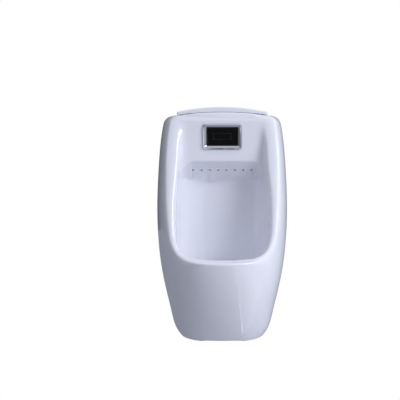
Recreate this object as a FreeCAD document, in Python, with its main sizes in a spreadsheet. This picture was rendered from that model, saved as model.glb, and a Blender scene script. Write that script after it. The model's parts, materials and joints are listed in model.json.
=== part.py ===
"""Wall-hung urinal with a sensor flush valve, as an assembly of separate pieces.

Frame, in millimetres: +X to the right of a person facing the urinal, +Y into
the wall, +Z up. The wall is the plane Y = 0. The origin is the middle of the
four screw holes of the two wall hangers. Heights in the size table are above
the bottom edge of the ceramic body, and up() turns them into Z.
"""
import FreeCAD
import Part
import math
import os
from types import SimpleNamespace

import Sketcher
from FreeCAD import Placement, Rotation, Vector

os.makedirs("parts", exist_ok=True)
document = FreeCAD.newDocument("urinal")

SIZES = {
    # ceramic body: outline
    "body_width": 336.0,
    "body_depth": 305.0,
    "body_height": 577.0,
    "crown_radius": 830.0,
    "shoulder_radius": 26.0,
    "rim_lean": 17.9,
    "rim_setback": 67.1,
    "rim_bend_radius": 90.0,
    "lip_height": 219.0,
    "rim_outer_round": 5.0,
    "rim_inner_round": 9.0,
    "overrun": 60.0,
    # ceramic body: bowl, panel and spray band
    "rim_side": 53.0,
    "bowl_back": 72.0,
    "bowl_nose": 90.0,
    "lip_thickness": 15.0,
    "bowl_floor": 150.0,
    "bowl_overlap": 1.0,
    "bowl_floor_round": 40.0,
    "panel_reach": 128.6,
    "brow_round": 16.0,
    "panel_step": 2.0,
    "panel_foot_round": 7.0,
    "arch_round": 34.0,
    "arch_inset": 9.0,
    "shelf_back": 45.0,
    "shelf_thickness": 55.0,
    "chamber_height": 102.0,
    "shelf_bite": 7.0,
    "spray_hole_radius": 3.0,
    "spray_pitch": 21.0,
    "spray_count": 8.0,
    "spray_drop": 25.5,
    "channel_half_width": 94.0,
    "channel_base": 12.0,
    "channel_cover": 13.0,
    "channel_back": 56.0,
    # ceramic body: walls, openings and holes
    "ceramic_wall": 11.0,
    "rim_solid": 40.0,
    "back_plate": 12.0,
    "back_flange": 26.0,
    "back_sill": 18.0,
    "hang_seat_drop": 44.0,
    "hang_drop": 25.0,
    "roof_thickness": 18.0,
    "roof_hole_half_width": 98.0,
    "roof_hole_front": 103.0,
    "roof_hole_back": 21.0,
    "panel_back": 114.0,
    "sensor_drop": 42.5,
    "sensor_hole_play": 1.0,
    "drain_reach": 108.0,
    "drain_hole_radius": 23.0,
    "drain_seat_radius": 37.0,
    "drain_seat_depth": 4.0,
    "valve_side": 74.0,
    "valve_reach": 77.0,
    "spud_hole_radius": 16.0,
    # lid
    "lid_half_width": 114.0,
    "lid_front": 117.0,
    "lid_back": 4.0,
    "lid_middle": 12.0,
    "lid_crown_radius": 520.0,
    "lid_round": 4.0,
    "lid_lift_gap": 1.0,
    "lid_rib_depth": 15.0,
    "lid_rib_wall": 8.0,
    "lid_rib_gap": 3.0,
    "pad_radius": 5.0,
    "pad_gap": 0.3,
    "pad_side": 104.0,
    "pad_front": 108.0,
    "pad_rear": 14.0,
    # wall hangers
    "hanger_spacing": 220.0,
    "hanger_width": 36.0,
    "hanger_sheet": 3.0,
    "hanger_tail": 25.0,
    "hanger_hook": 20.0,
    "hanger_hook_gap": 0.8,
    "hanger_hole_radius": 3.5,
    "hanger_hole_spacing": 26.0,
    # sensor
    "bezel_width": 97.5,
    "bezel_height": 64.4,
    "bezel_depth": 6.0,
    "bezel_round": 7.0,
    "bezel_edge": 8.6,
    "bezel_bevel": 4.0,
    "window_round": 2.2,
    "bezel_sleeve_width": 78.0,
    "bezel_sleeve_height": 45.5,
    "bezel_sleeve_wall": 2.0,
    "bezel_sleeve_depth": 28.0,
    "bezel_lip": 1.0,
    "gasket_sheet": 1.0,
    "window_sheet": 2.8,
    "window_gap": 0.2,
    "housing_depth": 40.0,
    "housing_wall": 2.0,
    "housing_gap": 0.4,
    "eye_width": 46.0,
    "eye_height": 18.0,
    "eye_wall": 2.5,
    "board_setback": 18.0,
    "board_sheet": 1.6,
    "board_gap": 0.5,
    "diode_radius": 3.0,
    "diode_length": 5.0,
    "diode_spacing": 22.0,
    "cover_sheet": 2.5,
    "gland_radius": 4.0,
    "gland_length": 9.0,
    "gland_bore_radius": 1.6,
    "clamp_width": 108.0,
    "clamp_height": 74.0,
    "clamp_sheet": 4.0,
    "clamp_screw_radius": 2.0,
    "clamp_screw_head_radius": 3.6,
    "clamp_screw_head": 2.4,
    "clamp_screw_side": 47.5,
    "clamp_screw_rise": 31.5,
    # battery box
    "battery_radius": 7.1,
    "battery_length": 49.0,
    "battery_nub_radius": 2.7,
    "battery_nub": 1.5,
    "battery_pitch": 15.0,
    "battery_side": 77.0,
    "battery_reach": 81.0,
    "case_width": 38.0,
    "case_height": 58.0,
    "case_wall": 2.5,
    "case_round": 3.0,
    "contact_sheet": 0.8,
    "contact_width": 10.0,
    "cap_gap": 0.5,
    "cap_top": 2.5,
    # flush valve
    "spud_flange_radius": 20.0,
    "spud_flange": 3.0,
    "spud_lower": 13.0,
    "spud_squeeze": 0.2,
    "tail_radius": 10.0,
    "tail_wall": 1.5,
    "tail_length": 36.0,
    "tail_collar_radius": 12.5,
    "tail_collar": 4.0,
    "tail_rise": 21.0,
    "nut_flats": 31.0,
    "nut_height": 15.0,
    "nut_overlap": 8.0,
    "outlet_radius": 13.0,
    "outlet_bore_radius": 8.5,
    "outlet_length": 12.0,
    "chest_radius": 22.0,
    "chest_height": 18.0,
    "chest_bore_radius": 18.0,
    "chest_floor": 17.0,
    "seat_radius": 11.0,
    "seat_height": 25.0,
    "chest_flange_radius": 27.0,
    "chest_flange": 7.0,
    "inlet_rise": 23.5,
    "inlet_radius": 13.0,
    "inlet_bore_radius": 6.0,
    "inlet_bore_start": 14.0,
    "inlet_thread_radius": 10.475,
    "inlet_thread": 14.0,
    "inlet_end": 13.0,
    "hub_reach": 42.0,
    "hub_radius": 14.0,
    "hub_length": 34.0,
    "plug_bore_radius": 9.0,
    "plug_radius": 8.95,
    "plug_length": 32.0,
    "plug_stem_radius": 6.0,
    "plug_stem": 9.0,
    "plug_slot": 2.0,
    "plug_slot_depth": 3.0,
    "ring_width": 2.0,
    "ring_depth": 1.5,
    "ring_inset": 3.0,
    "ring_gap": 0.1,
    "retainer_radius": 11.5,
    "retainer_length": 4.0,
    "retainer_bore_radius": 6.3,
    "filter_radius": 5.8,
    "filter_wall": 0.8,
    "filter_length": 10.0,
    "filter_hole_radius": 1.2,
    "filter_hole_count": 6.0,
    "piston_radius": 17.9,
    "piston_height": 8.0,
    "piston_boss_radius": 8.2,
    "piston_boss": 5.0,
    "piston_seal": 2.0,
    "pilot_radius": 1.5,
    "bonnet_radius": 27.0,
    "bonnet_height": 9.0,
    "bonnet_pocket": 3.0,
    "bonnet_screw_circle": 22.5,
    "bonnet_screw_radius": 2.0,
    "bonnet_screw_length": 13.0,
    "bonnet_screw_head_radius": 3.5,
    "bonnet_screw_head": 2.5,
    "bonnet_screw_count": 4.0,
    "core_radius": 6.0,
    "core_wall": 0.8,
    "core_length": 34.0,
    "core_cap": 2.0,
    "core_sink": 4.0,
    "plunger_radius": 5.15,
    "plunger_length": 18.0,
    "plunger_bore_radius": 3.2,
    "plunger_bore": 8.0,
    "plunger_lift_off": 0.3,
    "spring_radius": 2.4,
    "spring_wire_radius": 0.35,
    "spring_pitch": 2.6,
    "spring_gap": 0.4,
    "coil_radius": 17.0,
    "coil_height": 22.0,
    "coil_gap": 0.3,
    "coil_round": 2.0,
    "blade_width": 4.8,
    "blade_length": 8.0,
    "blade_sheet": 0.8,
    "blade_spacing": 9.0,
    "coil_nut_flats": 18.0,
    "coil_nut_height": 4.0,
    # waste and trap
    "flange_radius": 35.0,
    "flange_sheet": 2.0,
    "flange_lip": 2.0,
    "flange_lip_width": 2.0,
    "flange_gasket": 1.5,
    "waste_radius": 20.8,
    "waste_bore_radius": 18.0,
    "waste_foot": 92.0,
    "under_gasket_radius": 32.0,
    "under_gasket": 3.0,
    "lock_flats": 58.0,
    "lock_height": 10.0,
    "lock_play": 0.2,
    "strainer_radius": 30.5,
    "strainer_sheet": 2.0,
    "strainer_dome_radius": 20.0,
    "strainer_dome": 8.0,
    "strainer_slot": 3.4,
    "strainer_slot_length": 8.6,
    "strainer_slot_circle": 12.2,
    "strainer_slot_count": 10.0,
    "strainer_outer_circle": 25.0,
    "trap_foot": 26.0,
    "trap_radius": 26.0,
    "trap_bore_radius": 22.8,
    "trap_bore": 56.0,
    "trap_ledge_radius": 16.2,
    "trap_ledge": 6.0,
    "trap_neck_radius": 25.6,
    "trap_neck_bore_radius": 21.3,
    "trap_neck": 16.0,
    "trap_washer": 4.0,
    "trap_nut_radius": 29.0,
    "trap_nut_height": 20.0,
    "trap_nut_top": 3.5,
    "trap_play": 0.3,
    "dip_radius": 15.5,
    "dip_wall": 1.5,
    "dip_foot": 15.0,
    "dip_collar_radius": 21.0,
    "dip_collar": 3.0,
    "cup_foot": 8.0,
    "cup_radius": 28.4,
    "cup_height": 29.0,
    "cup_floor": 3.0,
    "cup_seat": 17.0,
    "cup_edge": 3.0,
    "cup_seal": 1.0,
    "arm_height": 64.0,
    "arm_radius": 20.0,
    "arm_bore_radius": 14.5,
    "arm_length": 38.0,
    "pipe_radius": 20.0,
    "pipe_neck_radius": 19.6,
    "pipe_neck": 10.0,
    "pipe_wall": 2.5,
    "pipe_end": 2.0,
    "pipe_collar_radius": 22.6,
    "pipe_collar": 4.0,
    "pipe_seal": 2.0,
    "pipe_nut_radius": 26.0,
    "pipe_nut_length": 20.0,
    "pipe_nut_wall": 4.0,
}

# Heights, widths and reaches that follow the outline of the body.
TIES = {
    "roof_height": "body_height - roof_thickness",
    "hang_seat": "roof_height - hang_seat_drop",
    "hang_height": "hang_seat - hang_drop",
    "hanger_foot": "hang_height - hanger_tail",
    "sensor_height": "roof_height - sensor_drop",
    "shelf_top": "roof_height - chamber_height",
    "shelf_bottom": "shelf_top - shelf_thickness",
    "panel_foot": "shelf_top - panel_step",
    "spray_height": "shelf_top - spray_drop",
    "channel_top": "shelf_top - channel_cover",
    "channel_bottom": "shelf_bottom + channel_base",
    "tail_top": "shelf_top + tail_rise",
    "inlet_height": "tail_top + inlet_rise",
    "bowl_rise": "roof_height + bowl_overlap - bowl_floor",
    "bowl_front": "body_depth - lip_thickness",
    "bowl_widest": "bowl_front - bowl_nose",
    "rim_corner_reach": "body_depth - rim_setback",
    "bowl_half_width": "body_width / 2 - rim_side",
    "shelf_half_width": "bowl_half_width + shelf_bite",
    "arch_half_width": "bowl_half_width - arch_inset",
}
# Outer form from the bottom edge up: shares of body height, half width, depth.
OUTER_SHARES = (
    (0.000, 0.655, 0.490),
    (0.104, 0.792, 0.690),
    (0.217, 0.878, 0.855),
    (0.347, 0.955, 0.972),
    (0.454, 0.988, 1.000),
    (0.581, 1.000, 0.965),
    (0.728, 0.982, 0.885),
    (0.867, 0.945, 0.785),
    (0.953, 0.898, 0.700),
    (1.057, 0.820, 0.580),
)
# Bowl from its floor up: shares of rise, half width, back, widest line, front,
# and of the squareness of the front curve.
BOWL_SHARES = (
    (0.000, 0.800, 0.690, 0.585, 0.660, 0.950),
    (0.159, 0.961, 0.900, 0.870, 0.925, 1.000),
    (0.317, 1.000, 0.980, 0.965, 0.986, 1.000),
    (0.488, 0.996, 1.000, 0.990, 1.000, 1.000),
    (0.659, 0.945, 1.000, 1.000, 1.000, 1.000),
    (0.829, 0.910, 1.000, 1.000, 1.000, 1.000),
    (1.000, 0.905, 1.000, 1.000, 1.000, 1.000),
)
OUTER_POWER_SHARE = 2.5
BOWL_BACK_POWER_SHARE = 3.8
BOWL_FRONT_POWER_SHARE = 2.4
OUTER_STEPS = 15
BOWL_STEPS = 12
FLOOR_STEPS = 6
RISE_SHARES = (0.141, 0.200, 0.278, 0.380, 0.502, 0.637, 0.778, 0.890, 1.000)
TINY_SHARE = 1e-3
EASE_SHARES = (1, 0.96, 0.9, 0.8)

UP = Vector(0, 0, 1)
RIGHT = Vector(1, 0, 0)
BACK = Vector(0, 1, 0)
FRONT = Vector(0, -1, 0)


class Size(float):
    """A length that also carries the sheet formula it comes from."""

    def __new__(cls, number, formula):
        made = super().__new__(cls, number)
        made.formula = formula
        return made

    def __add__(self, other):
        return joined(self, "+", other, float(self) + float(other))

    def __radd__(self, other):
        return joined(other, "+", self, float(other) + float(self))

    def __sub__(self, other):
        return joined(self, "-", other, float(self) - float(other))

    def __rsub__(self, other):
        return joined(other, "-", self, float(other) - float(self))

    def __mul__(self, other):
        return joined(self, "*", other, float(self) * float(other))

    def __rmul__(self, other):
        return joined(other, "*", self, float(other) * float(self))

    def __truediv__(self, other):
        return joined(self, "/", other, float(self) / float(other))

    def __neg__(self):
        return Size(-float(self), f"(0 - {self.formula})")


def formula_of(value):
    return value.formula if isinstance(value, Size) else repr(float(value))


def joined(left, sign, right, number):
    return Size(number, f"({formula_of(left)} {sign} {formula_of(right)})")


def fill_sheet():
    """Write the size table into a sheet and give back its sizes by name."""
    sheet = document.addObject("Spreadsheet::Sheet", "sizes")
    entries = {**{name: str(number) for name, number in SIZES.items()},
               **{name: f"={rule}" for name, rule in TIES.items()}}
    for row, (name, entry) in enumerate(entries.items(), 1):
        sheet.set(f"A{row}", name)
        sheet.set(f"B{row}", entry)
        sheet.setAlias(f"B{row}", name)
    document.recompute()
    named = {name: Size(sheet.get(name), f"sizes.{name}") for name in entries}
    return SimpleNamespace(**named)


size = fill_sheet()


def up(height):
    """Z of a height above the bottom edge of the body."""
    return height - size.hang_height


def bind(piece, name, value):
    setattr(piece, name, float(value))
    if isinstance(value, Size):
        piece.setExpression(name, value.formula)


def place(piece, at, toward=UP, turn=0):
    """Stand a piece at a point, with its own Z axis along toward."""
    spin = Rotation(UP, toward) * Rotation(UP, turn)
    piece.Placement = Placement(Vector(*[float(v) for v in at]), spin)
    for axis, value in zip("xyz", at):
        if isinstance(value, Size):
            piece.setExpression(f"Placement.Base.{axis}", value.formula)
    return piece


def box(label, spans):
    """Box from three (low, high) pairs."""
    piece = document.addObject("Part::Box", label)
    for name, (low, high) in zip(("Length", "Width", "Height"), spans):
        bind(piece, name, high - low)
    return place(piece, [low for low, high in spans])


def rod(label, radius, length, at, toward=UP):
    piece = document.addObject("Part::Cylinder", label)
    bind(piece, "Radius", radius)
    bind(piece, "Height", length)
    return place(piece, at, toward)


def hexagon(label, flats, height, at, toward=UP):
    """Six-sided bar, flats apart, as the nuts are cut from."""
    piece = document.addObject("Part::Prism", label)
    piece.Polygon = 6
    bind(piece, "Circumradius", flats / math.sqrt(3))
    bind(piece, "Height", height)
    return place(piece, at, toward)


def fuse(label, *pieces):
    piece = document.addObject("Part::MultiFuse", label)
    piece.Shapes = list(pieces)
    piece.Refine = True
    return piece


def together(label, *pieces):
    """Separate solids that are one node."""
    piece = document.addObject("Part::Compound", label)
    piece.Links = list(pieces)
    return piece


def cut(label, base, *tools):
    piece = document.addObject("Part::Cut", label)
    piece.Base = base
    piece.Tool = tools[0] if len(tools) == 1 else fuse(f"{label}_tools", *tools)
    piece.Refine = True
    return piece


def common(label, base, tool):
    piece = document.addObject("Part::Common", label)
    piece.Base = base
    piece.Tool = tool
    piece.Refine = True
    return piece


def eased(kind, label, base, reach, wanted):
    """Round or bevel picked edges, a little less where the full size won't go."""
    document.recompute()
    picked = [
        number for number, edge in enumerate(base.Shape.Edges, 1) if wanted(edge)
    ]
    piece = document.addObject(kind, label)
    piece.Base = base
    for share in EASE_SHARES:
        near = float(reach) * share
        piece.Edges = [(number, near, near) for number in picked]
        document.recompute()
        if not piece.Shape.isNull() and piece.Shape.isValid():
            break
    return piece


def rounded(label, base, radius, wanted):
    """Round the edges of base that wanted() picks."""
    return eased("Part::Fillet", label, base, radius, wanted)


def bevelled(label, base, reach, wanted):
    """Bevel the edges of base that wanted() picks."""
    return eased("Part::Chamfer", label, base, reach, wanted)


def at_front(level):
    """Picks edges that lie in one upright plane."""
    def wanted(edge):
        flat = edge.BoundBox.YLength < TINY_SHARE
        return flat and abs(middle(edge).y - float(level)) < TINY_SHARE
    return wanted


def along(axis):
    """Picks straight edges that run along one axis."""
    def wanted(edge):
        if edge.Curve.TypeId != "Part::GeomLine":
            return False
        return abs(abs(edge.Curve.Direction.dot(axis)) - 1) < TINY_SHARE
    return wanted


def middle(edge):
    return edge.valueAt((edge.FirstParameter + edge.LastParameter) / 2)


def touches(shape, point):
    return shape.distToShape(Part.Vertex(point))[0] < TINY_SHARE


def form(label, shape):
    """A shape that no standard feature gives."""
    piece = document.addObject("Part::Feature", label)
    piece.Shape = shape
    piece.Placement = Placement()
    return piece


def origin_plane(body, role):
    return next(o for o in body.Origin.OriginFeatures if o.Role == role)


def sketched(body, role, corners):
    """Closed outline of straight lines, each corner held by sheet sizes."""
    sketch = body.newObject("Sketcher::SketchObject", f"{body.Label}_outline")
    sketch.AttachmentSupport = [(origin_plane(body, role), "")]
    sketch.MapMode = "FlatFace"
    points = [Vector(float(a), float(b), 0) for a, b in corners]
    last = len(points) - 1
    for number, point in enumerate(points):
        after = points[0 if number == last else number + 1]
        sketch.addGeometry(Part.LineSegment(point, after), False)
    for number in range(len(points)):
        after = 0 if number == last else number + 1
        sketch.addConstraint(Sketcher.Constraint("Coincident", number, 2, after, 1))
    for number, pair in enumerate(corners):
        for kind, value, line in zip(("DistanceX", "DistanceY"), pair, (-2, -1)):
            if float(value) == 0:
                held = Sketcher.Constraint("PointOnObject", number, 1, line)
                sketch.addConstraint(held)
                continue
            held = Sketcher.Constraint(kind, -1, 1, number, 1, float(value))
            index = sketch.addConstraint(held)
            if isinstance(value, Size):
                sketch.setExpression(f"Constraints[{index}]", value.formula)
    return sketch


def turned(label, corners, at, toward=UP):
    """Body of revolution from (radius, height) corners, heights from its foot."""
    body = document.addObject("PartDesign::Body", label)
    sketch = sketched(body, "XZ_Plane", corners)
    spun = body.newObject("PartDesign::Revolution", f"{label}_spun")
    spun.Profile = sketch
    spun.ReferenceAxis = (sketch, ["V_Axis"])
    spun.Angle = 360
    body.Tip = spun
    return place(body, at, toward)


def tube(label, bore, radius, length, at, toward=UP):
    return turned(
        label, [(bore, 0), (radius, 0), (radius, length), (bore, length)], at, toward
    )


def prism(label, corners, half_width):
    """Outline in (Y, Z) carried across X, the same distance to both sides."""
    body = document.addObject("PartDesign::Body", label)
    sketch = sketched(body, "YZ_Plane", corners)
    pad = body.newObject("PartDesign::Pad", f"{label}_pad")
    pad.Profile = sketch
    bind(pad, "Length", half_width * 2)
    body.Tip = pad
    return place(body, (-half_width, 0, 0))


def repeat(label, piece, count, centre, axis):
    """Copies of one piece turned evenly round an axis."""
    document.recompute()
    shapes = []
    for number in range(int(count)):
        shape = piece.Shape.copy()
        shape.rotate(centre, axis, number * 360 / count)
        shapes.append(shape)
    return form(label, Part.makeCompound(shapes))


def outer_section(row, inset):
    """D-shaped wire of the outer form at one height, flat towards the wall."""
    height_share, width_share, depth_share = row
    half = size.body_width / 2 * width_share - inset
    depth = size.body_depth * depth_share - inset
    level = float(up(size.body_height * height_share))
    points = []
    for step in range(OUTER_STEPS + 1):
        angle = math.pi * step / OUTER_STEPS
        side = abs(math.cos(angle)) ** (2 / OUTER_POWER_SHARE)
        ahead = abs(math.sin(angle)) ** (2 / OUTER_POWER_SHARE)
        side = math.copysign(side, math.cos(angle))
        points.append(Vector(half * side, -depth * ahead, level))
    points[-1] = Vector(-half, 0, level)
    curve = Part.BSplineCurve()
    curve.interpolate(Points=points, InitialTangent=FRONT, FinalTangent=BACK)
    behind = Vector(0, size.overrun, 0)
    right, left = points[0] + behind, points[-1] + behind
    return Part.Wire([
        Part.makeLine(right, points[0]),
        curve.toShape(),
        Part.makeLine(points[-1], left),
        Part.makeLine(left, right),
    ])


def outer_loft(inset):
    wires = [outer_section(row, inset) for row in OUTER_SHARES]
    return Part.makeLoft(wires, True, False, False)


def bowl_wall(height):
    """Half width, back, widest line, front and squareness of the bowl walls."""
    share = min(max((height - size.bowl_floor) / size.bowl_rise, 0), 1)
    rows = zip(BOWL_SHARES, BOWL_SHARES[1:])
    low, high = next(pair for pair in rows if share <= pair[1][0])
    part = (share - low[0]) / (high[0] - low[0])
    half, back, widest, front, power = (a + (b - a) * part for a, b in zip(low[1:], high[1:]))
    return (
        size.bowl_half_width * half, size.bowl_back * back, size.bowl_widest * widest,
        size.bowl_front * front, BOWL_FRONT_POWER_SHARE * power,
    )


def bowl_section(height, grown):
    """Egg-shaped wire of the bowl at one height, in two halves."""
    half, back, widest, front, front_power = bowl_wall(height)
    half, back, front = half + grown, grown - back, -front - grown
    points = []
    for step in range(BOWL_STEPS + 1):
        angle = math.pi * (step / BOWL_STEPS - 1 / 2)
        end, power = (back, BOWL_BACK_POWER_SHARE) if angle < 0 else (front, front_power)
        side = half * max(math.cos(angle), 0) ** (2 / power)
        far = abs(math.sin(angle)) ** (2 / power)
        points.append(Vector(side, (end + widest) * far - widest, up(height)))
    points[0].x = 0
    points[-1].x = 0
    mirrored = [Vector(-p.x, p.y, p.z) for p in reversed(points)]
    halves = []
    for run, leave in ((points, RIGHT), (mirrored, RIGHT * -1)):
        curve = Part.BSplineCurve()
        curve.interpolate(Points=run, InitialTangent=leave, FinalTangent=leave * -1)
        halves.append(curve.toShape())
    return Part.Wire(halves)


def bowl_form(label, grown):
    """Solid that fills the bowl, grown by a wall on all sides."""
    foot, bend = size.bowl_floor - grown, size.bowl_floor_round + grown
    wires = []
    for step in range(FLOOR_STEPS + 1):
        angle = math.pi / 2 * (1 - step / FLOOR_STEPS)
        inset = bend * (1 - math.cos(angle))
        wires.append(bowl_section(foot + bend * (1 - math.sin(angle)), grown - inset))
    for share in RISE_SHARES:
        wires.append(bowl_section(size.bowl_floor + size.bowl_rise * share, grown))
    return form(label, Part.makeLoft(wires, True, False, False))


def rim_tool(label, inset):
    """Everything in front of the rim face, moved back into the body by inset."""
    lean = math.tan(math.radians(size.rim_lean))
    steep = math.cos(math.radians(size.rim_lean))
    level = up(size.lip_height - inset)
    corner = -(size.rim_corner_reach - inset / steep + inset * lean)
    top = up(size.body_height + size.overrun)
    front = -(size.body_depth + size.overrun)
    outline = [
        (corner, level),
        (corner + (top - level) * lean, top),
        (front, top),
        (front, level),
    ]
    block = prism(f"{label}_block", outline, size.body_width)

    def bend(edge):
        at = middle(edge)
        return abs(at.y - corner) < TINY_SHARE and abs(at.z - level) < TINY_SHARE
    return rounded(label, block, size.rim_bend_radius + inset, bend)


def make_shelf():
    """Flat panel above, and below it the spray band, arched down at both ends."""
    panel, foot = -size.panel_reach, up(size.panel_foot)
    top = up(size.body_height + size.overrun)
    band_back = -(size.bowl_back - size.ceramic_wall)
    run, arch = band_back - panel, size.arch_round
    drop = arch * math.sqrt(2)
    block = prism("shelf_block", [
        (panel, top), (panel, foot - drop), (band_back, foot - drop - run),
        (band_back, top),
    ], size.shelf_half_width)

    # the arch is carried back and down along the slope of the band
    slope, out = Vector(0, 1, -1), Vector(0, -1, -1).normalize()
    start = Vector(0, panel, foot) - slope * float(size.overrun)
    half = size.arch_half_width

    def at(across, down):
        return start + RIGHT * float(across) + out * float(down)
    corner = arch * (1 - math.sqrt(1 / 2))
    low = arch + size.overrun
    edges = [
        Part.makeLine(at(-half, low), at(-half, arch)),
        Part.Arc(at(-half, arch), at(corner - half, corner), at(arch - half, 0)).toShape(),
        Part.makeLine(at(arch - half, 0), at(half - arch, 0)),
        Part.Arc(at(half - arch, 0), at(half - corner, corner), at(half, arch)).toShape(),
        Part.makeLine(at(half, arch), at(half, low)),
        Part.makeLine(at(half, low), at(-half, low)),
    ]
    arched = Part.Face(Part.Wire(edges)).extrude(slope * float(run + size.overrun * 2))
    channel = form("arch_channel", arched)
    shelf = cut("shelf_arched", block, channel)

    def panel_edge(edge):
        place_on = middle(edge)
        return abs(place_on.y - panel) < TINY_SHARE and touches(arched, place_on)
    return rounded("shelf_rounded", shelf, size.panel_foot_round, panel_edge)


def make_ceramic_body():
    """One casting: skin, rolled rim, bowl, panel, spray band and open back."""
    wide = (-size.body_width, size.body_width)
    skin = form("body_skin", outer_loft(0))
    crown = rod(
        "body_crown", size.crown_radius, size.body_depth * 2,
        (0, -size.body_depth - size.overrun, up(size.body_height - size.crown_radius)),
        BACK,
    )
    behind = box("body_behind_wall", (
        wide, (0, size.overrun * 2), (up(-size.overrun), up(size.body_height * 2)),
    ))
    crowned = common("body_crowned", skin, crown)

    def shoulder(edge):
        at = middle(edge)
        return at.z > up(size.panel_foot) and at.y < size.overrun * 3 / 4
    shouldered = rounded("body_shouldered", crowned, size.shoulder_radius, shoulder)
    blank = cut("body_blank", shouldered, behind)
    rim = rim_tool("rim_cut", 0)
    faced = cut("body_faced", blank, rim)
    document.recompute()
    blank_skin, rim_shape = blank.Shape.Shells[0], rim.Shape

    def outer_rim(edge):
        at = middle(edge)
        return touches(rim_shape, at) and touches(blank_skin, at)
    rolled = rounded("body_rolled", faced, size.rim_outer_round, outer_rim)
    bowl = bowl_form("bowl", 0)
    bowled = cut("body_bowled", rolled, bowl)
    document.recompute()
    bowl_shape = bowl.Shape

    def inner_rim(edge):
        at = middle(edge)
        below = at.z < up(size.roof_height)
        return below and touches(rim_shape, at) and touches(bowl_shape, at)
    lipped = rounded("body_lipped", bowled, size.rim_inner_round, inner_rim)

    shelf = common("shelf_trimmed", make_shelf(), rolled)

    def brow(edge):
        at = middle(edge)
        flush = abs(at.y + float(size.panel_reach)) < TINY_SHARE
        return along(RIGHT)(edge) and flush and at.z > up(size.sensor_height)
    shelf = rounded("shelf_eased", shelf, size.brow_round, brow)
    solid = fuse("body_solid", lipped, shelf)

    # hollow behind the bowl, open to the wall and to the floor
    inner = form("hollow_form", outer_loft(size.ceramic_wall))
    plate = -size.back_plate
    high = common("hollow_high", inner, box("hollow_high_box", (
        wide, (-size.panel_back, plate), (up(size.shelf_top), up(size.roof_height)),
    )))
    low = common("hollow_low_space", inner, box("hollow_low_box", (
        wide, (-size.body_depth, plate), (up(-size.overrun), up(size.shelf_top)),
    )))
    low = cut(
        "hollow_low", low, bowl_form("bowl_back_form", size.ceramic_wall),
        rim_tool("rim_backing", size.rim_solid),
        box("shelf_keep", (
            (-size.shelf_half_width, size.shelf_half_width),
            (-size.panel_reach, -size.shelf_back),
            (up(size.shelf_bottom), up(size.shelf_top)),
        )),
    )
    opening = common(
        "back_opening", form("back_opening_form", outer_loft(size.back_flange)),
        box("back_opening_box", (
            wide, (plate - size.back_plate, size.overrun),
            (up(size.back_sill), up(size.hang_seat)),
        )),
    )
    return cut("ceramic_body", solid, high, low, opening, *body_holes())


def body_holes():
    """Tools for the roof hole, sensor hole, spray channel, spray holes, drain."""
    roof = box("roof_hole", (
        (-size.roof_hole_half_width, size.roof_hole_half_width),
        (-size.roof_hole_front, -size.roof_hole_back),
        (up(size.roof_height - size.ceramic_wall), up(size.body_height + size.overrun)),
    ))
    half_width = size.bezel_sleeve_width / 2 + size.sensor_hole_play
    half_height = size.bezel_sleeve_height / 2 + size.sensor_hole_play
    sensor = box("sensor_hole", (
        (-half_width, half_width),
        (-size.panel_reach - size.ceramic_wall, -size.panel_back + size.ceramic_wall),
        (up(size.sensor_height - half_height), up(size.sensor_height + half_height)),
    ))
    slant = size.ceramic_wall * math.sqrt(2) + size.panel_foot - size.panel_reach
    channel = prism("channel", [
        (slant - size.channel_top, up(size.channel_top)),
        (-size.channel_back, up(size.channel_top)),
        (-size.channel_back, up(size.channel_bottom)),
        (slant - size.channel_bottom, up(size.channel_bottom)),
    ], size.channel_half_width)
    sprays = []
    start = -(size.spray_count - 1) / 2
    for number in range(int(size.spray_count)):
        sprays.append(rod(
            f"spray_hole_{number + 1}", size.spray_hole_radius, size.ceramic_wall * 3,
            (
                size.spray_pitch * (start + number),
                size.panel_foot - size.panel_reach - size.spray_height
                - size.ceramic_wall,
                up(size.spray_height - size.ceramic_wall),
            ),
            Vector(0, 1, 1),
        ))
    spud = rod(
        "spud_hole", size.spud_hole_radius, size.shelf_top - size.channel_top
        + size.ceramic_wall,
        (size.valve_side, -size.valve_reach, up(size.channel_top - size.ceramic_wall / 2)),
    )
    drain = rod(
        "drain_hole", size.drain_hole_radius, size.ceramic_wall * 3,
        (0, -size.drain_reach, up(size.bowl_floor - size.ceramic_wall * 2)),
    )
    seat = rod(
        "drain_seat", size.drain_seat_radius, size.ceramic_wall,
        (0, -size.drain_reach, up(size.bowl_floor - size.drain_seat_depth)),
    )
    return [roof, sensor, channel, *sprays, spud, drain, seat]


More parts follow.
